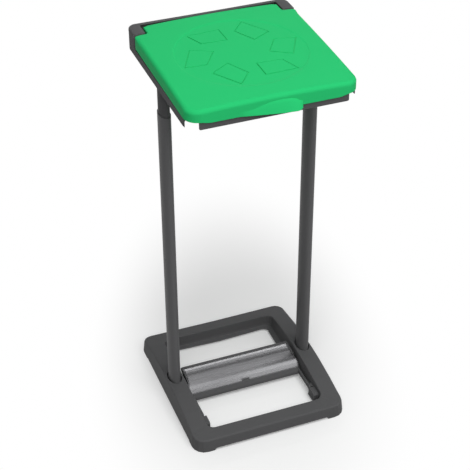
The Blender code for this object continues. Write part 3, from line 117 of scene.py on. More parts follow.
# Divisions of the lid's outline, with extra points at the lip's steep end, and of its rows out and inside.
# NEAR is how close to an edge of the outline a point still counts as on it
FRONT_HALF_STEPS = 48
LIP_END_OFFSETS = (-0.0001, -0.0006, -0.0015, 0.0002)
CORNER_STEPS = 16
SIDE_STEPS = 18
NOTCH_STEPS = 5
TONGUE_STEPS = 8
REAR_STEPS = 20
SKIRT_STEPS = 16
EDGE_DEGREES = (11, 22, 34, 46, 58, 70, 80)
TOP_STEPS = 7
RECESS_EDGE_STEPS = 5
RECESS_STEPS = 12
INSIDE_TOP_SHARES = (0.25, 0.5, 0.75, 1.0)
INSIDE_EDGE_DEGREES = (90, 45)
INSIDE_LEVELS = (1.0, 0.7, SCOOP_LEVEL, 0.2, 0.0)
NEAR = 0.0003

# Round recess with the rosette; a panel's corner is its inset from the recess's edge and its angle in degrees
RECESS_Y = -0.005
RECESS_RADIUS = 0.156
PANEL_COUNT = 6
PANEL_CORNERS = ((0.092, -20), (0.058, 18), (0.010, 9), (0.038, -24))
GROOVE_TO_SLOPE = 5
GROOVE_CUTTER_RISE = 3

# Hinge barrels under the lid's tongue, and their webs
HINGE_Y = 0.192
HINGE_Z = 0.978
BARREL_RADIUS = 0.008
BARREL_LENGTH = 0.02
BARREL_CHAMFER = 0.0006
BARREL_OUTER_CAP = 0.9
BARREL_INNER_CAP = 0.92
BARREL_SIDES = 40
WEB_SHARE = 0.6

# The rim that joins the head's hoods behind the lid; its inner edge is a list of steps inwards and down
HEAD_HALF = 0.20325
HEAD_REAR = 0.22165
HEAD_REAR_CORNER = 0.020
HOOD_FRONT = 0.1666
RIM_TOP = 0.9964
RIM_FOOT = 0.9876
RIM_INNER_FOOT = 0.9938
RIM_ROUND = 0.004
RIM_ROUND_DEGREES = (0, 22, 45, 68, 90)
RIM_INNER_EDGE = ((0.0012, 0), (0.0004, 0.0003), (0, 0.0011))
RIM_SIDE_GAP = 0.0045
RIM_REAR_GAP = 0.0069
RIM_SIDE_STEPS = 4
RIM_STEPS = 12
RIM_SHARP = 35

# The patch of floor that shows the object's shade: an ellipse, longer to the rear for the lid's shadow
SHADE_PLACE = (0.04, 0.06, 0)
SHADE_TURN = math.radians(-16)
SHADE_STRETCH = (1, 2.1, 1)
SHADE_FADE = 3

# Camera film, and a dark card behind the object, over the strip lamp
SENSOR_WIDTH = 36
CARD_COLOUR = "303030"
CARD_CORNERS = [(-0.4, 2.8, 2.6), (2.4, 2.0, 2.6), (2.4, 2.0, 4.0), (-0.4, 2.8, 4.0)]


class Lamp(NamedTuple):
    """An area lamp: its power's setting, its place, the point it faces, its size, and if gloss mirrors it."""
    name: str
    power: str
    place: tuple
    target: tuple
    width: float
    depth: float
    mirrored: bool = True


LAMPS = (Lamp("front_lamp", "key_power", (0.1, -2.45, 4.35), (0, 0, 0.5), 4.6, 4.6, mirrored=False),
         Lamp("soft_lamp", "soft_power", (1.2, -0.25, 3.9), (0, 0, 0.1), 0.9, 0.9),
         Lamp("strip_lamp", "strip_power", (0.95, 2.5, 1.72), (0, 0, 0.05), 1.6, 0.26))


def linear(code):
    """Linear colour of an sRGB hex code such as 2dcc77."""
    values = []
    for start in (0, 2, 4):
        share = int(code[start:start + 2], 16) / 255
        values.append(share / 12.92 if share <= 0.04045 else ((share + 0.055) / 1.055) ** 2.4)
    return tuple(values)


def colour_property(name, description, code):
    """A colour that the user can change, given as a hex code."""
    return bpy.props.FloatVectorProperty(name=name, description=description, subtype="COLOR", size=3,
                                         min=0, max=1, default=linear(code))


def length_property(name, description, millimetres):
    """A length that the user can change, given in millimetres."""
    return bpy.props.FloatProperty(name=name, description=description, subtype="DISTANCE", unit="LENGTH",
                                   min=0, default=millimetres * MM, precision=5)


def angle_property(name, description, degrees):
    """An angle that the user can change, given in degrees."""
    return bpy.props.FloatProperty(name=name, description=description, subtype="ANGLE",
                                   default=math.radians(degrees))


def level_property(name, description, value, unit="NONE"):
    """A strength that the user can change."""
    return bpy.props.FloatProperty(name=name, description=description, unit=unit, min=0, default=value)


class HolderColours(bpy.types.PropertyGroup):
    """Colours of the holder's plastics, metals and rubber."""
    body: colour_property("Body plastic", "Charcoal polypropylene of the base, head and pedal", "5b5b5c")
    post: colour_property("Post coating", "Charcoal powder coat of the posts", "686869")
    lid: colour_property("Lid plastic", "Green polypropylene of the lid", "2dcc77")
    plate: colour_property("Pedal steel", "Satin stainless steel of the pedal's plate", "8c8c8e")
    steel: colour_property("Link steel", "Zinc-plated steel of rods, pins and axles", "a8a9ac")
    guide: colour_property("Guide plastic", "Grey acetal of the rod guides", "9a9a98")
    rubber: colour_property("Rubber", "Black rubber of pads and buffers", "1b1b1c")


class HolderSizes(bpy.types.PropertyGroup):
    """Sizes of the surface detail."""
    mould_grain: length_property("Mould grain", "Grit of the mould texture, drawn coarse to show", 1.4)
    coat_peel: length_property("Coating ripple", "Width of a ripple in the powder coat", 1.1)
    brush_spacing: length_property("Brushing", "Spacing of the brushed lines, drawn coarse to show", 2.0)
    brush_length: length_property("Brush stroke", "Length of a brushed line", 240)
    edge_round: length_property("Edge rounding", "Radius of the moulded edges", 0.7)


class LidSizes(bpy.types.PropertyGroup):
    """Sizes of the lid's relief."""
    recess: length_property("Recess", "Depth of the round recess", 1.0)
    recess_ease: length_property("Recess edge", "Width of the soft step round the recess", 3.0)
    panel_height: length_property("Panel height", "How far a rosette panel stands over the recess", 0.5)
    groove_width: length_property("Groove width", "Width of the groove round a rosette panel", 3.2)
    groove_depth: length_property("Groove depth", "Depth of the groove round a rosette panel", 1.7)


class StageSettings(bpy.types.PropertyGroup):
    """Camera, floor and lamps of the picture."""
    azimuth: angle_property("Azimuth", "Camera's turn round the object", -20.96)
    elevation: angle_property("Elevation", "Camera's height angle", 35.5)
    roll: angle_property("Roll", "Camera's roll", 0.22)
    position: bpy.props.FloatVectorProperty(name="Position", description="Place of the camera", subtype="XYZ",
                                            unit="LENGTH", default=(-0.96565, -2.48062, 2.38131))
    focal: bpy.props.FloatProperty(name="Focal length", description="Focal length in millimetres",
                                   unit="CAMERA", min=1, default=100.07)
    floor_size: length_property("Floor", "Width of the floor", 14000)
    floor_tint: colour_property("Floor colour", "Matt pale floor as it lights the object", "c0c0c0")
    floor_seen: level_property("Floor as seen", "Share of light that the seen floor returns", 0.96)
    floor_lift: level_property("Floor lift", "Plain white added to the seen floor", 0.13)
    halo: length_property("Shaded floor", "Half width of the floor that shows its own shade", 150)
    key_power: level_property("Front lamp", "Power of the front lamp in watts", 190, "POWER")
    soft_power: level_property("Soft lamp", "Power of the lamp overhead in watts", 4.4, "POWER")
    strip_power: level_property("Strip lamp", "Power of the strip lamp behind, in watts", 4.5, "POWER")
    world_level: level_property("Sky level", "Strength of the plain sky", 0.20)


def new_material(name):
    """An empty node material; returns it with its tree."""
    material = bpy.data.materials.new(name)
    material.use_nodes = True
    material.node_tree.nodes.clear()
    return material, material.node_tree


def node(tree, kind, links=None, **settings):
    """Add one node: settings name its sockets or attributes, links name sockets fed by other sockets."""
    added = tree.nodes.new("ShaderNode" + kind)
    for key, value in settings.items():
        label = key.replace("_", " ")
        sockets = {socket.name.lower(): socket for socket in reversed(added.inputs)}
        if label in sockets:
            sockets[label].default_value = value
        else:
            setattr(added, key, value)
    for key, source in (links or {}).items():
        tree.links.new(source, added.inputs[key])
    return added


def finish_surface(tree, shader):
    """Join a shader to the material's output."""
    node(tree, "OutputMaterial", {"Surface": shader.outputs[0]})


def moulded_plastic(name, colour, roughness, sizes, depth=GRAIN_DEPTH, edge_share=1.0, variation=0.04,
                    gloss=0.06, edge_highlight=1.4):
    """Injection-moulded plastic from a spark-eroded mould: satin, with a fine even grain.

    The grain breaks the gloss into a soft sheen, and a painted highlight lightens the colour along the edges.
    The real grit of about 0.2 mm is drawn coarser so that it shows.
    """
    material, tree = new_material(name)
    edge = sizes.edge_round * edge_share
    place = node(tree, "TexCoord").outputs["Object"]
    grit = node(tree, "TexNoise", {"Vector": place}, scale=1 / sizes.mould_grain, detail=3.0, roughness=0.6)
    cloud = node(tree, "TexNoise", {"Vector": place}, scale=COLOUR_PATCHES, detail=2.0)
    low = tuple(channel * (1 - variation) for channel in colour)
    high = tuple(min(channel * (1 + variation), 1.0) for channel in colour)
    tint = node(tree, "MixRGB", {"Fac": cloud.outputs["Fac"]}, color1=(*low, 1), color2=(*high, 1))
    satin = node(tree, "MapRange", {"Value": grit.outputs["Fac"]}, from_min=0.3, from_max=0.7,
                 to_min=roughness - 0.05, to_max=roughness + 0.05)
    # Painted highlight: near the edges, where a wide rounding turns the normal away, the colour blends
    # towards a lighter copy of itself
    plain = node(tree, "NewGeometry")
    wide = node(tree, "Bevel", samples=6, radius=edge * EDGE_HIGHLIGHT_WIDTH)
    alike = node(tree, "VectorMath", {0: wide.outputs["Normal"], 1: plain.outputs["Normal"]},
                 operation="DOT_PRODUCT")
    highlight_mask = node(tree, "MapRange", {"Value": alike.outputs["Value"]}, from_min=0.995, from_max=0.9)
    highlight_colour = tuple(min(channel * edge_highlight, 1.0) for channel in colour)
    tint = node(tree, "MixRGB", {"Fac": highlight_mask.outputs["Result"], "Color1": tint.outputs["Color"]},
                color2=(*highlight_colour, 1))
    rounded = node(tree, "Bevel", samples=4, radius=edge)
    relief = node(tree, "Bump", {"Height": grit.outputs["Fac"], "Normal": rounded.outputs["Normal"]},
                  strength=1.0, distance=depth)
    shader = node(tree, "BsdfPrincipled", {"Base Color": tint.outputs["Color"],
                                           "Roughness": satin.outputs["Result"],
                                           "Normal": relief.outputs["Normal"]},
                  ior=1.49, specular_ior_level=gloss)
    finish_surface(tree, shader)
    return material


def powder_coat(name, colour, ripple):
    """Aluminium tube with a satin powder coat: even colour and a faint orange-peel ripple in the gloss."""
    material, tree = new_material(name)
    place = node(tree, "TexCoord").outputs["Object"]
    peel = node(tree, "TexNoise", {"Vector": place}, scale=1 / ripple, detail=1.0)
    satin = node(tree, "MapRange", {"Value": peel.outputs["Fac"]}, to_min=0.36, to_max=0.46)
    relief = node(tree, "Bump", {"Height": peel.outputs["Fac"]}, strength=0.6, distance=RIPPLE_DEPTH)
    shader = node(tree, "BsdfPrincipled", {"Roughness": satin.outputs["Result"],
                                           "Normal": relief.outputs["Normal"]},
                  base_color=(*colour, 1), ior=1.5, specular_ior_level=0.06)
    finish_surface(tree, shader)
    return material


def brushed_steel(name, colour, spacing, stroke):
    """Stainless sheet brushed along its length: fine long lines that draw the highlights out."""
    material, tree = new_material(name)
    place = node(tree, "TexCoord").outputs["Object"]
    stretch = node(tree, "Mapping", {"Vector": place}, scale=(1 / stroke, 1 / spacing, 1 / spacing))
    lines = node(tree, "TexNoise", {"Vector": stretch.outputs["Vector"]}, scale=1.0, detail=4.0,
                 roughness=0.7)
    dark = tuple(channel * 0.96 for channel in colour)
    tint = node(tree, "MixRGB", {"Fac": lines.outputs["Fac"]}, color1=(*dark, 1), color2=(*colour, 1))
    satin = node(tree, "MapRange", {"Value": lines.outputs["Fac"]}, from_min=0.3, from_max=0.7,
                 to_min=0.23, to_max=0.29)
    rounded = node(tree, "Bevel", samples=8, radius=BEND_ROUND)
    relief = node(tree, "Bump", {"Height": lines.outputs["Fac"], "Normal": rounded.outputs["Normal"]},
                  strength=0.05, distance=BRUSH_DEPTH)
    shader = node(tree, "BsdfPrincipled", {"Base Color": tint.outputs["Color"],
                                           "Roughness": satin.outputs["Result"],
                                           "Normal": relief.outputs["Normal"]}, metallic=1.0)
    finish_surface(tree, shader)
    return material


def drawn_steel(name, colour):
    """Zinc-plated drawn steel: bright, with slightly cloudy plating."""
    material, tree = new_material(name)
    place = node(tree, "TexCoord").outputs["Object"]
    cloud = node(tree, "TexNoise", {"Vector": place}, scale=PLATING_PATCHES, detail=3.0)
    dull = tuple(channel * 0.8 for channel in colour)
    tint = node(tree, "MixRGB", {"Fac": cloud.outputs["Fac"]}, color1=(*dull, 1), color2=(*colour, 1))
    satin = node(tree, "MapRange", {"Value": cloud.outputs["Fac"]}, to_min=0.26, to_max=0.42)
    shader = node(tree, "BsdfPrincipled", {"Base Color": tint.outputs["Color"],
                                           "Roughness": satin.outputs["Result"]}, metallic=1.0)
    finish_surface(tree, shader)
    return material


def pad_rubber(name, colour):
    """Moulded rubber: matt and near black, with a dry bloom in patches."""
    material, tree = new_material(name)
    place = node(tree, "TexCoord").outputs["Object"]
    bloom = node(tree, "TexNoise", {"Vector": place}, scale=BLOOM_PATCHES, detail=4.0)
    pale = tuple(min(channel * 2.2, 1.0) for channel in colour)
    tint = node(tree, "MixRGB", {"Fac": bloom.outputs["Fac"]}, color1=(*colour, 1), color2=(*pale, 1))
    relief = node(tree, "Bump", {"Height": bloom.outputs["Fac"]}, strength=0.5, distance=BLOOM_DEPTH)
    shader = node(tree, "BsdfPrincipled", {"Base Color": tint.outputs["Color"],
                                           "Normal": relief.outputs["Normal"]}, roughness=0.82, ior=1.52)
    finish_surface(tree, shader)
    return material


def dress(material, *names):
    """Give CAD pieces a material."""
    for name in names:
        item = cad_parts[name]
        item.data.materials.clear()
        item.data.materials.append(material)


def smooth(share):
    """A share from 0 to 1, eased at both ends."""
    return share * share * (3 - 2 * share)


def arc(centre, radius, start, end, steps):
    """Points along an arc, both ends included, angles in degrees."""
    points = []
    for step in range(steps + 1):
        angle = math.radians(start + (end - start) * step / steps)
        points.append((centre[0] + radius * math.cos(angle), centre[1] + radius * math.sin(angle)))
    return points


def skin(bm, first, second):
    """Faces between two closed rows of vertices."""
    pairs = list(zip(first, second))
    for (a, b), (c, d) in zip(pairs, pairs[1:] + pairs[:1]):
        bm.faces.new((a, c, d, b))


def mesh_object(name, bm):
    """Turn a bmesh into an object with its faces pointing out."""
    bmesh.ops.recalc_face_normals(bm, faces=bm.faces)
    mesh = bpy.data.meshes.new(name)
    bm.to_mesh(mesh)
    bm.free()
    item = bpy.data.objects.new(name, mesh)
    bpy.context.scene.collection.objects.link(item)
    return item


def finish_mesh(mesh, sharp_degrees, material):
    """Smooth shading that keeps edges over an angle sharp, and one material."""
    mesh.shade_smooth()
    mesh.set_sharp_from_angle(angle=math.radians(sharp_degrees))
    mesh.materials.clear()
    mesh.materials.append(material)


class DressBase(bpy.types.Operator):
    """Moulded charcoal finish for the base and rubber for its pads"""
    bl_idname = "holder.dress_base"
    bl_label = "Base and pads"

    def execute(self, context):
        colours, sizes = context.scene.holder_colours, context.scene.holder_sizes
        dress(moulded_plastic("charcoal_polypropylene_base", colours.body, 0.52, sizes), "base_frame")
        pads = [f"foot_pad_{end}_{side}" for end in ("front", "rear") for side in SIDES]
        dress(pad_rubber("black_rubber_pads", colours.rubber), *pads)
        return {"FINISHED"}


class DressPosts(bpy.types.Operator):
    """Powder coat for the two oval posts"""
    bl_idname = "holder.dress_posts"
    bl_label = "Posts"

    def execute(self, context):
        colours, sizes = context.scene.holder_colours, context.scene.holder_sizes
        dress(powder_coat("charcoal_powder_coat", colours.post, sizes.coat_peel), "post_left", "post_right")
        return {"FINISHED"}


class DressPedal(bpy.types.Operator):
    """Brushed plate and moulded carrier of the pedal"""
    bl_idname = "holder.dress_pedal"
    bl_label = "Pedal"

    def execute(self, context):
        colours, sizes = context.scene.holder_colours, context.scene.holder_sizes
        steel = brushed_steel("brushed_stainless_plate", colours.plate, sizes.brush_spacing,
                              sizes.brush_length)
        dress(steel, "pedal_plate")
        dress(moulded_plastic("charcoal_polypropylene_pedal", colours.body, 0.5, sizes), "pedal_carrier")
        return {"FINISHED"}


def rim_stations():
    """Pairs of plan points, outer and inner, along the right half of the rear rim, from its front end."""
    side, rear = LID_TONGUE + RIM_SIDE_GAP, LID_TONGUE_REAR + RIM_REAR_GAP
    outer = (HEAD_HALF - HEAD_REAR_CORNER, HEAD_REAR - HEAD_REAR_CORNER)
    inner = (LID_TONGUE, rear - RIM_SIDE_GAP)
    pairs = []
    for step in range(RIM_SIDE_STEPS):
        share = step / RIM_SIDE_STEPS
        pairs.append(((HEAD_HALF, HOOD_FRONT + (outer[1] - HOOD_FRONT) * share),
                      (side, HOOD_FRONT + (inner[1] - HOOD_FRONT) * share)))
    pairs += zip(arc(outer, HEAD_REAR_CORNER, 0, 90, RIM_STEPS), arc(inner, RIM_SIDE_GAP, 0, 90, RIM_STEPS))
    for step in range(1, RIM_STEPS + 1):
        share = 1 - step / RIM_STEPS
        pairs.append(((outer[0] * share, HEAD_REAR), (inner[0] * share, rear)))
    return pairs


def rear_rim():
    """The moulded rim over the hoods and behind the lid, with a rounded outer edge."""
    bm = bmesh.new()
    right = rim_stations()
    stations = right + [((-ox, oy), (-ix, iy)) for (ox, oy), (ix, iy) in reversed(right[:-1])]
    loops = []
    for outer, inner in stations:
        outer, inner = Vector(outer), Vector(inner)
        across = (inner - outer).normalized()
        section = [(outer, RIM_FOOT)]
        for degrees in RIM_ROUND_DEGREES:
            angle = math.radians(degrees)
            section.append((outer + across * RIM_ROUND * (1 - math.cos(angle)),
                            RIM_TOP - RIM_ROUND * (1 - math.sin(angle))))
        section += [(inner - across * back, RIM_TOP - down) for back, down in RIM_INNER_EDGE]
        section.append((inner, RIM_INNER_FOOT))
        loops.append([bm.verts.new((spot.x, spot.y, z)) for spot, z in section])
    for first, second in zip(loops, loops[1:]):
        skin(bm, first, second)
    bm.faces.new(loops[0])
    bm.faces.new(loops[-1])
    return mesh_object("rear_rim", bm)


class DressHead(bpy.types.Operator):
    """Moulded finish for the head and levers, its rear rim, and rubber for the buffers"""
    bl_idname = "holder.dress_head"
    bl_label = "Head and levers"

    def execute(self, context):
        colours, sizes = context.scene.holder_colours, context.scene.holder_sizes
        plastic = moulded_plastic("charcoal_polypropylene_head", colours.body, 0.5, sizes, gloss=0.02)
        dress(plastic, "head_frame", "lever_left", "lever_right")
        rim = rear_rim()
        finish_mesh(rim.data, RIM_SHARP, plastic)
        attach(rim, "stand")
        dress(pad_rubber("black_rubber_buffers", colours.rubber), "lid_buffer_left", "lid_buffer_right")
        return {"FINISHED"}


def lid_top(x, y):
    """Height of the lid's crowned top."""
    side = (x / LID_HALF) ** 2
    along = ((y - LID_CROWN_REFERENCE) / LID_CROWN_SPAN) ** 2
    return LID_CREST - LID_CROWN_SIDE * side - LID_CROWN_FRONT * along


def lip_share(x):
    """Share of the hand lip's full reach at a place along the front."""
    if x <= LIP_LEFT or x >= LIP_RIGHT:
        return 0.0
    if x < LIP_CREST:
        return 1 - ((LIP_CREST - x) / (LIP_CREST - LIP_LEFT)) ** LIP_TAPER
    return math.sqrt(1 - ((x - LIP_CREST) / (LIP_RIGHT - LIP_CREST)) ** 2)


def scoop_height(x):
    """How far the scoop above the hand lip reaches up the skirt."""
    if x <= LIP_LEFT or x >= LIP_RIGHT:
        return 0.0
    if x < SCOOP_CREST:
        return SCOOP_RISE * math.cos(math.pi / 2 * (SCOOP_CREST - x) / (SCOOP_CREST - LIP_LEFT))
    return SCOOP_RISE * math.sqrt(1 - ((x - SCOOP_CREST) / (LIP_RIGHT - SCOOP_CREST)) ** 2)


def skirt_bottom(x, y):
    """Height of the skirt's lower edge, without the hand lip."""
    if y > LID_SIDE_REAR - LID_NOTCH + NEAR:
        return LID_REAR_BOTTOM
    along = (y - LID_FRONT - LID_CORNER) / (LID_SIDE_REAR - LID_FRONT - LID_CORNER)
    side = LID_SIDE_BOTTOM_FRONT + (LID_SIDE_BOTTOM_REAR - LID_SIDE_BOTTOM_FRONT) * max(along, 0.0)
    share = min(max((abs(x) - LID_DEEP_FRONT) / LID_DEEP_EASE, 0.0), 1.0)
    if y > LID_FRONT + LID_CORNER:
        share = 1.0
    return LID_FRONT_BOTTOM + (side - LID_FRONT_BOTTOM) * smooth(share)


def lid_outline(inset=0.0, rear_inset=0.0, tail_inset=0.0):
    """Plan points of the lid, counter-clockwise from the left of its front.

    They are moved in from the front and sides, from the notches, and from the tongue's rear edge.
    """
    front, half, radius = LID_FRONT + inset, LID_HALF - inset, LID_CORNER - inset
    run = LID_HALF - LID_CORNER
    scale = (half - radius) / run
    marks = [run * (step / FRONT_HALF_STEPS - 1) for step in range(1, FRONT_HALF_STEPS * 2)]
    marks += [LIP_RIGHT + offset for offset in LIP_END_OFFSETS]
    points = [(mark * scale, front) for mark in sorted(marks)]
    right = arc((half - radius, front + radius), radius, 270, 360, CORNER_STEPS)
    side_rear, small = LID_SIDE_REAR - rear_inset, LID_NOTCH - rear_inset
    side_run = side_rear - small - front - radius
    right += [(half, front + radius + side_run * step / SIDE_STEPS) for step in range(1, SIDE_STEPS)]
    right += arc((half - small, side_rear - small), small, 0, 90, NOTCH_STEPS)
    tongue, wide, big = LID_TONGUE - rear_inset, LID_NOTCH + rear_inset, LID_TONGUE_ROUND - rear_inset
    rear, level = LID_TONGUE_REAR - tail_inset, LID_TONGUE_REAR - LID_TONGUE_ROUND
    right += arc((tongue + wide, side_rear + wide), wide, 270, 180, NOTCH_STEPS)
    corner = arc((tongue - big, 0), 1, 0, 90, TONGUE_STEPS)
    right += [(tongue - big + (x - tongue + big) * big, level + y * (rear - level)) for x, y in corner]
    right += [((tongue - big) * (1 - step / REAR_STEPS), rear) for step in range(1, REAR_STEPS)]
    return points + right + [(0, rear)] + [(-x, y) for x, y in reversed(right)]


def edge_round(y):
    """Radius of the upper edge: soft at the front, sides and rear, crisp at the notches."""
    if y < LID_SIDE_REAR - LID_NOTCH - NEAR:
        return LID_EDGE
    share = max(y - LID_TONGUE_REAR + LID_TONGUE_ROUND, 0) / LID_TONGUE_ROUND
    return LID_NOTCH_EDGE + (LID_TAIL_EDGE - LID_NOTCH_EDGE) * share * share


def skirt_row(level, inside=0.0):
    """A row round the skirt, from its lower edge at level 0 to the foot of the rounded edge at level 1."""
    row = []
    for (x, y), (px, py) in zip(lid_outline(), lid_outline(inside, inside, inside)):
        low, high = skirt_bottom(x, y), lid_top(x, y) - edge_round(y) * LID_EDGE_DROP
        bend, reach = low + (high - low) * SCOOP_LEVEL, 0.0
        if y < LID_FRONT + NEAR:
            bend = max(bend, low + scoop_height(x))
            low -= LIP_DROP * lip_share(x)
            reach = LIP_REACH * lip_share(x) * max(1 - level / LIP_FADE_LEVEL, 0.0) ** LIP_FADE_POWER
        if level < SCOOP_LEVEL:
            z = low + (bend - low) * level / SCOOP_LEVEL
        else:
            z = bend + (high - bend) * (level - SCOOP_LEVEL) / (1 - SCOOP_LEVEL)
        row.append((px, py - reach, z - inside * level / 2))
    return row


def edge_row(degrees, inside=0.0):
    """A row round the rounded upper edge: 0 degrees at its foot, 90 on the top."""
    inset_share, drop_share = 1 - math.cos(math.radians(degrees)), 1 - math.sin(math.radians(degrees))
    insets = [radius * inset_share + inside * LID_INSIDE_EDGE
              for radius in (LID_EDGE, LID_NOTCH_EDGE, LID_TAIL_EDGE)]
    row = []
    for (x, y), (px, py) in zip(lid_outline(), lid_outline(*insets)):
        row.append((px, py, lid_top(px, py) - edge_round(y) * LID_EDGE_DROP * drop_share - inside))
    return row


def disc_row(share, radius, depth):
    """A row on the top, between its rounded edge and a circle about the recess."""
    centre = Vector((0, RECESS_Y))
    row = []
    for point in lid_outline(LID_EDGE, LID_NOTCH_EDGE, LID_TAIL_EDGE):
        ray = (Vector(point) - centre).normalized()
        spot = Vector(point).lerp(centre + ray * radius, share)
        row.append((spot.x, spot.y, lid_top(spot.x, spot.y) - depth))
    return row


def lid_rows(sizes):
    """Rows over the outside from the skirt's lower edge to the recess's middle, and rows back inside."""
    outside = [skirt_row(step / SKIRT_STEPS) for step in range(SKIRT_STEPS + 1)]
    outside += [edge_row(degrees) for degrees in EDGE_DEGREES]
    outside += [disc_row(step / TOP_STEPS, RECESS_RADIUS, 0) for step in range(TOP_STEPS + 1)]
    for step in range(1, RECESS_EDGE_STEPS + 1):
        share = step / RECESS_EDGE_STEPS
        outside.append(disc_row(1.0, RECESS_RADIUS - sizes.recess_ease * share, sizes.recess * smooth(share)))
    inner = RECESS_RADIUS - sizes.recess_ease
    outside += [disc_row(1.0, inner * (1 - step / RECESS_STEPS), sizes.recess)
                for step in range(1, RECESS_STEPS)]
    under = sizes.recess + LID_WALL
    inside = [disc_row(1.0, RECESS_RADIUS * share, under) for share in INSIDE_TOP_SHARES]
    inside += [edge_row(degrees, LID_WALL) for degrees in INSIDE_EDGE_DEGREES]
    inside += [skirt_row(level, LID_WALL) for level in INSIDE_LEVELS]
    return outside, inside


def lid_shell(sizes):
    """The lid's shell, skinned over its rows."""
    bm = bmesh.new()
    centre_floor = lid_top(0, RECESS_Y) - sizes.recess
    outside, inside = ([[bm.verts.new(point) for point in row] for row in rows] for rows in lid_rows(sizes))
    for rows in (outside, inside):
        for first, second in zip(rows, rows[1:]):
            skin(bm, first, second)
    skin(bm, inside[-1], outside[0])
    for row, height in ((outside[-1], centre_floor), (inside[0], centre_floor - LID_WALL)):
        middle = bm.verts.new((0, RECESS_Y, height))
        for a, b in zip(row, row[1:] + row[:1]):
            bm.faces.new((a, b, middle))
    return mesh_object("lid_shell", bm)


def panel_plan(number, spread):
    """Plan corners of a rosette panel, moved out by a spread with mitred corners."""
    turn = math.tau * number / PANEL_COUNT
    corners = []
    for inset, degrees in PANEL_CORNERS:
        angle = turn + math.radians(degrees)
        radius = RECESS_RADIUS - inset
        corners.append(Vector((radius * math.cos(angle), RECESS_Y + radius * math.sin(angle))))
    middle = sum(corners, Vector((0, 0))) / len(corners)
    moved = []
    for index, corner in enumerate(corners):
        sides = []
        for other in (corners[index - 1], corners[(index + 1) % len(corners)]):
            along = (other - corner).normalized()
            across = Vector((along.y, -along.x))
            sides.append(across if across.dot(corner - middle) > 0 else -across)
        mitre = (sides[0] + sides[1]) / (1 + sides[0].dot(sides[1]))
        moved.append(corner + mitre * spread)
    return moved


def panel_loop(bm, number, spread, height, depth):
    """A row of vertices round a rosette panel, at a height over the recess's floor."""
    row = []
    for corner in panel_plan(number, spread):
        row.append(bm.verts.new((corner.x, corner.y, lid_top(corner.x, corner.y) - depth + height)))
    return row


def panel_tile(number, sizes):
    """One raised panel of the rosette."""
    bm = bmesh.new()
    low = panel_loop(bm, number, 0, -LID_WALL / 2, sizes.recess)
    high = panel_loop(bm, number, 0, sizes.panel_height, sizes.recess)
    bm.faces.new(low)
    bm.faces.new(high)
    skin(bm, low, high)
    return mesh_object("tile", bm)


def panel_groove(number, sizes):
    """The cutter of the groove round a panel."""
    bm = bmesh.new()
    half, slope = sizes.groove_width / 2, sizes.groove_width / GROOVE_TO_SLOPE
    above = sizes.panel_height * GROOVE_CUTTER_RISE
    rows = [panel_loop(bm, number, half, above, sizes.recess),
            panel_loop(bm, number, half - slope, -sizes.groove_depth, sizes.recess),
            panel_loop(bm, number, slope - half, -sizes.groove_depth, sizes.recess),
            panel_loop(bm, number, -half, above, sizes.recess)]
    for first, second in zip(rows, rows[1:] + rows[:1]):
        skin(bm, first, second)
    return mesh_object("groove", bm)


def boolean(target, tool, operation):
    """Join or cut the target with a tool body, which is then removed."""
    modifier = target.modifiers.new("shape", "BOOLEAN")
    modifier.operation = operation
    modifier.solver = "EXACT"
    modifier.object = tool
    depsgraph = bpy.context.evaluated_depsgraph_get()
    target.data = bpy.data.meshes.new_from_object(target.evaluated_get(depsgraph))
    target.modifiers.clear()
    bpy.data.objects.remove(tool, do_unlink=True)


def barrel_span(side):
    """Outer and inner end of a hinge barrel, along X."""
    return side * (LID_TONGUE - LID_WALL / 4), side * (LID_TONGUE - BARREL_LENGTH)


def hinge_barrel(side):
    """A barrel under the tongue for the lid's axle."""
    bm = bmesh.new()
    start, end = barrel_span(side)
    rows = []
    for x, share in ((start, BARREL_OUTER_CAP), (start, 1.0), (end + side * BARREL_CHAMFER, 1.0),
                     (end, BARREL_INNER_CAP)):
        ring = arc((HINGE_Y, HINGE_Z), BARREL_RADIUS * share, 0, 360, BARREL_SIDES)[:-1]
        rows.append([bm.verts.new((x, y, z)) for y, z in ring])
    for first, second in zip(rows, rows[1:]):
        skin(bm, first, second)
    bm.faces.new(rows[0])
    bm.faces.new(rows[-1])
    return mesh_object("barrel", bm)


def barrel_web(side):
    """The web that carries a barrel."""
    bm = bmesh.new()
    start, end = barrel_span(side)
    top = lid_top(LID_TONGUE, HINGE_Y) - LID_WALL / 2
    half = BARREL_RADIUS * WEB_SHARE
    plan = [(start, HINGE_Y - half), (end, HINGE_Y - half), (end, HINGE_Y + half), (start, HINGE_Y + half)]
    foot = [bm.verts.new((x, y, HINGE_Z)) for x, y in plan]
    head = [bm.verts.new((x, y, top)) for x, y in plan]
    skin(bm, foot, head)
    bm.faces.new(foot)
    bm.faces.new(head)
    return mesh_object("web", bm)


class BuildLid(bpy.types.Operator):
    """Crowned green lid with its skirt, hand lip, recess, rosette and hinge barrels"""
    bl_idname = "holder.build_lid"
    bl_label = "Lid"

    def execute(self, context):
        colours, sizes = context.scene.holder_colours, context.scene.holder_sizes
        relief = context.scene.holder_lid
        shell = lid_shell(relief)
        for number in range(PANEL_COUNT):
            boolean(shell, panel_tile(number, relief), "UNION")
            boolean(shell, panel_groove(number, relief), "DIFFERENCE")
        for side in (-1, 1):
            boolean(shell, hinge_barrel(side), "UNION")
            boolean(shell, barrel_web(side), "UNION")
        # The lid's edges get no painted highlight: its lighter edge colour is its own colour
        plastic = moulded_plastic("green_polypropylene_lid", colours.lid, 0.55, sizes, GRAIN_DEPTH_LID,
                                  variation=0.015, gloss=0.03, edge_highlight=1.0)
        finish_mesh(shell.data, LID_SHARP, plastic)
        shell.visible_glossy = False
        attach(shell, "lid_body")
        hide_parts("lid")
        return {"FINISHED"}


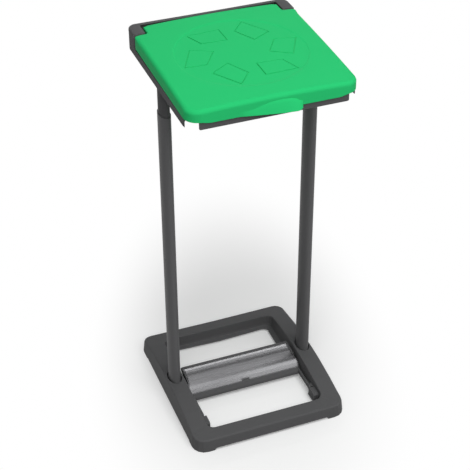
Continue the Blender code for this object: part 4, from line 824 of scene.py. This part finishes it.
class DressLinks(bpy.types.Operator):
    """Plated steel for rods, pins and axles, and acetal for the guides"""
    bl_idname = "holder.dress_links"
    bl_label = "Rods, pins and guides"

    def execute(self, context):
        colours, sizes = context.scene.holder_colours, context.scene.holder_sizes
        names = [f"{kind}_{side}" for kind in ("lift_rod", "lever_pin", "hinge_crank") for side in SIDES]
        dress(drawn_steel("zinc_plated_steel", colours.steel), *names)
        acetal = moulded_plastic("grey_acetal_guides", colours.guide, 0.35, sizes, GRAIN_DEPTH_GUIDE,
                                 edge_share=0.5)
        dress(acetal, "rod_guide_left", "rod_guide_right")
        return {"FINISHED"}


def camera_turn(azimuth, elevation, roll):
    """Rotation of a camera that looks from an azimuth and elevation, with a roll."""
    back = Vector((math.sin(azimuth) * math.cos(elevation), -math.cos(azimuth) * math.cos(elevation),
                   math.sin(elevation)))
    right = (-back).cross(Vector((0, 0, 1))).normalized()
    up = right.cross(-back).normalized()
    turned_right = right * math.cos(roll) - up * math.sin(roll)
    turned_up = right * math.sin(roll) + up * math.cos(roll)
    return Matrix((turned_right, turned_up, back)).transposed()


def add_lamp(lamp, watts):
    """A soft area lamp; one that gloss doesn't mirror still lights surfaces."""
    data = bpy.data.lights.new(lamp.name, "AREA")
    data.shape = "RECTANGLE"
    data.size = lamp.width
    data.size_y = lamp.depth
    data.energy = watts
    item = bpy.data.objects.new(lamp.name, data)
    bpy.context.scene.collection.objects.link(item)
    item.location = lamp.place
    item.visible_glossy = lamp.mirrored
    item.rotation_euler = (Vector(lamp.place) - Vector(lamp.target)).to_track_quat("Z", "Y").to_euler()


def flat_face(name, corners, material):
    """An object of one flat face."""
    mesh = bpy.data.meshes.new(name)
    mesh.from_pydata(corners, [], QUAD)
    mesh.materials.append(material)
    item = bpy.data.objects.new(name, mesh)
    bpy.context.scene.collection.objects.link(item)
    return item


def seen_share(tree):
    """1 for rays from the camera, a mirroring surface or a clear one, 0 for rays that only carry light."""
    path = node(tree, "LightPath")
    seen = node(tree, "Math", {0: path.outputs["Is Camera Ray"], 1: path.outputs["Is Glossy Ray"]},
                operation="MAXIMUM")
    seen = node(tree, "Math", {0: seen.outputs[0], 1: path.outputs["Is Transmission Ray"]},
                operation="MAXIMUM")
    return seen.outputs[0]


def floor_material(stage):
    """Matt white studio floor: it keeps the object's shadow and fades to plain white away from it."""
    material, tree = new_material("matt_white_floor")
    place = node(tree, "TexCoord").outputs["Object"]
    patch = node(tree, "Mapping", {"Vector": place}, vector_type="TEXTURE", location=SHADE_PLACE,
                 rotation=(0, 0, SHADE_TURN), scale=SHADE_STRETCH)
    reach = node(tree, "VectorMath", {0: patch.outputs["Vector"]}, operation="LENGTH")
    fade = node(tree, "MapRange", {"Value": reach.outputs["Value"]}, from_min=stage.halo,
                from_max=stage.halo * SHADE_FADE, interpolation_type="SMOOTHSTEP")
    bounce = node(tree, "BsdfDiffuse", color=(*stage.floor_tint, 1))
    matt = node(tree, "BsdfDiffuse", color=(stage.floor_seen, stage.floor_seen, stage.floor_seen, 1))
    lift = node(tree, "Emission", color=WHITE, strength=stage.floor_lift)
    near = node(tree, "AddShader", {0: matt.outputs[0], 1: lift.outputs[0]})
    far = node(tree, "Emission", color=WHITE, strength=1.0)
    shown = node(tree, "MixShader", {0: fade.outputs["Result"], 1: near.outputs[0], 2: far.outputs[0]})
    mixed = node(tree, "MixShader", {0: seen_share(tree), 1: bounce.outputs[0], 2: shown.outputs[0]})
    finish_surface(tree, mixed)
    return material


class BuildStage(bpy.types.Operator):
    """Floor, sky, lamps and camera of the picture"""
    bl_idname = "holder.build_stage"
    bl_label = "Stage"

    def execute(self, context):
        scene = context.scene
        stage = scene.holder_stage
        self.add_floor(stage)
        self.set_sky(scene, stage)
        for lamp in LAMPS:
            add_lamp(lamp, getattr(stage, lamp.power))
        self.add_card()
        self.add_camera(scene, stage)
        scene.view_settings.view_transform = "Standard"
        return {"FINISHED"}

    def add_floor(self, stage):
        """The studio floor."""
        half = stage.floor_size / 2
        corners = [(-half, -half, 0), (half, -half, 0), (half, half, 0), (-half, half, 0)]
        floor = flat_face("studio_floor", corners, floor_material(stage))

    def add_card(self):
        """A dark card that only gloss shows: it bands the bare steel."""
        material, tree = new_material("black_felt_card")
        finish_surface(tree, node(tree, "BsdfDiffuse", color=(*linear(CARD_COLOUR), 1)))
        card = flat_face("dark_card", CARD_CORNERS, material)
        card.visible_camera = card.visible_diffuse = card.visible_shadow = False

    def set_sky(self, scene, stage):
        """A plain sky that looks white, and lights the object less than that."""
        world = bpy.data.worlds.new("studio_sky")
        world.use_nodes = True
        tree = world.node_tree
        tree.nodes.clear()
        level = node(tree, "MapRange", {"Value": seen_share(tree)}, to_min=stage.world_level, to_max=1.0)
        sky = node(tree, "Background", {"Strength": level.outputs["Result"]}, color=WHITE)
        node(tree, "OutputWorld", {"Surface": sky.outputs[0]})
        scene.world = world

    def add_camera(self, scene, stage):
        """The picture's camera."""
        data = bpy.data.cameras.new("picture_camera")
        data.sensor_width = SENSOR_WIDTH
        data.lens = stage.focal
        camera = bpy.data.objects.new("picture_camera", data)
        scene.collection.objects.link(camera)
        turn = camera_turn(stage.azimuth, stage.elevation, stage.roll)
        camera.matrix_world = Matrix.Translation(stage.position) @ turn.to_4x4()
        scene.camera = camera


class HolderPanel(bpy.types.Panel):
    """Sizes, colours and pieces of the holder"""
    bl_idname = "VIEW3D_PT_holder"
    bl_label = "Bin bag holder"
    bl_space_type = "VIEW_3D"
    bl_region_type = "UI"
    bl_category = "Holder"

    def draw(self, context):
        scene = context.scene
        for group in (getattr(scene, key) for key in GROUPS):
            column = self.layout.column()
            for key in group.__annotations__:
                column.prop(group, key)
        for step in STEPS:
            self.layout.operator(step.bl_idname)


GROUPS = {"holder_colours": HolderColours, "holder_sizes": HolderSizes, "holder_lid": LidSizes,
          "holder_stage": StageSettings}
STEPS = (DressBase, DressPosts, DressPedal, DressHead, BuildLid, DressLinks, BuildStage)


def register():
    """Register the classes and hang the settings on the scene."""
    for kind in (*GROUPS.values(), *STEPS, HolderPanel):
        bpy.utils.register_class(kind)
    for key, kind in GROUPS.items():
        setattr(bpy.types.Scene, key, bpy.props.PointerProperty(type=kind))


def unregister():
    """Take the settings and classes away again."""
    for key in GROUPS:
        delattr(bpy.types.Scene, key)
    for kind in (HolderPanel, *reversed(STEPS), *reversed(GROUPS.values())):
        bpy.utils.unregister_class(kind)


def main():
    """Build the picture."""
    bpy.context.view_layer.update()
    register()
    for step in STEPS:
        group, name = step.bl_idname.split(".")
        getattr(getattr(bpy.ops, group), name)()


if __name__ == "__main__":
    main()
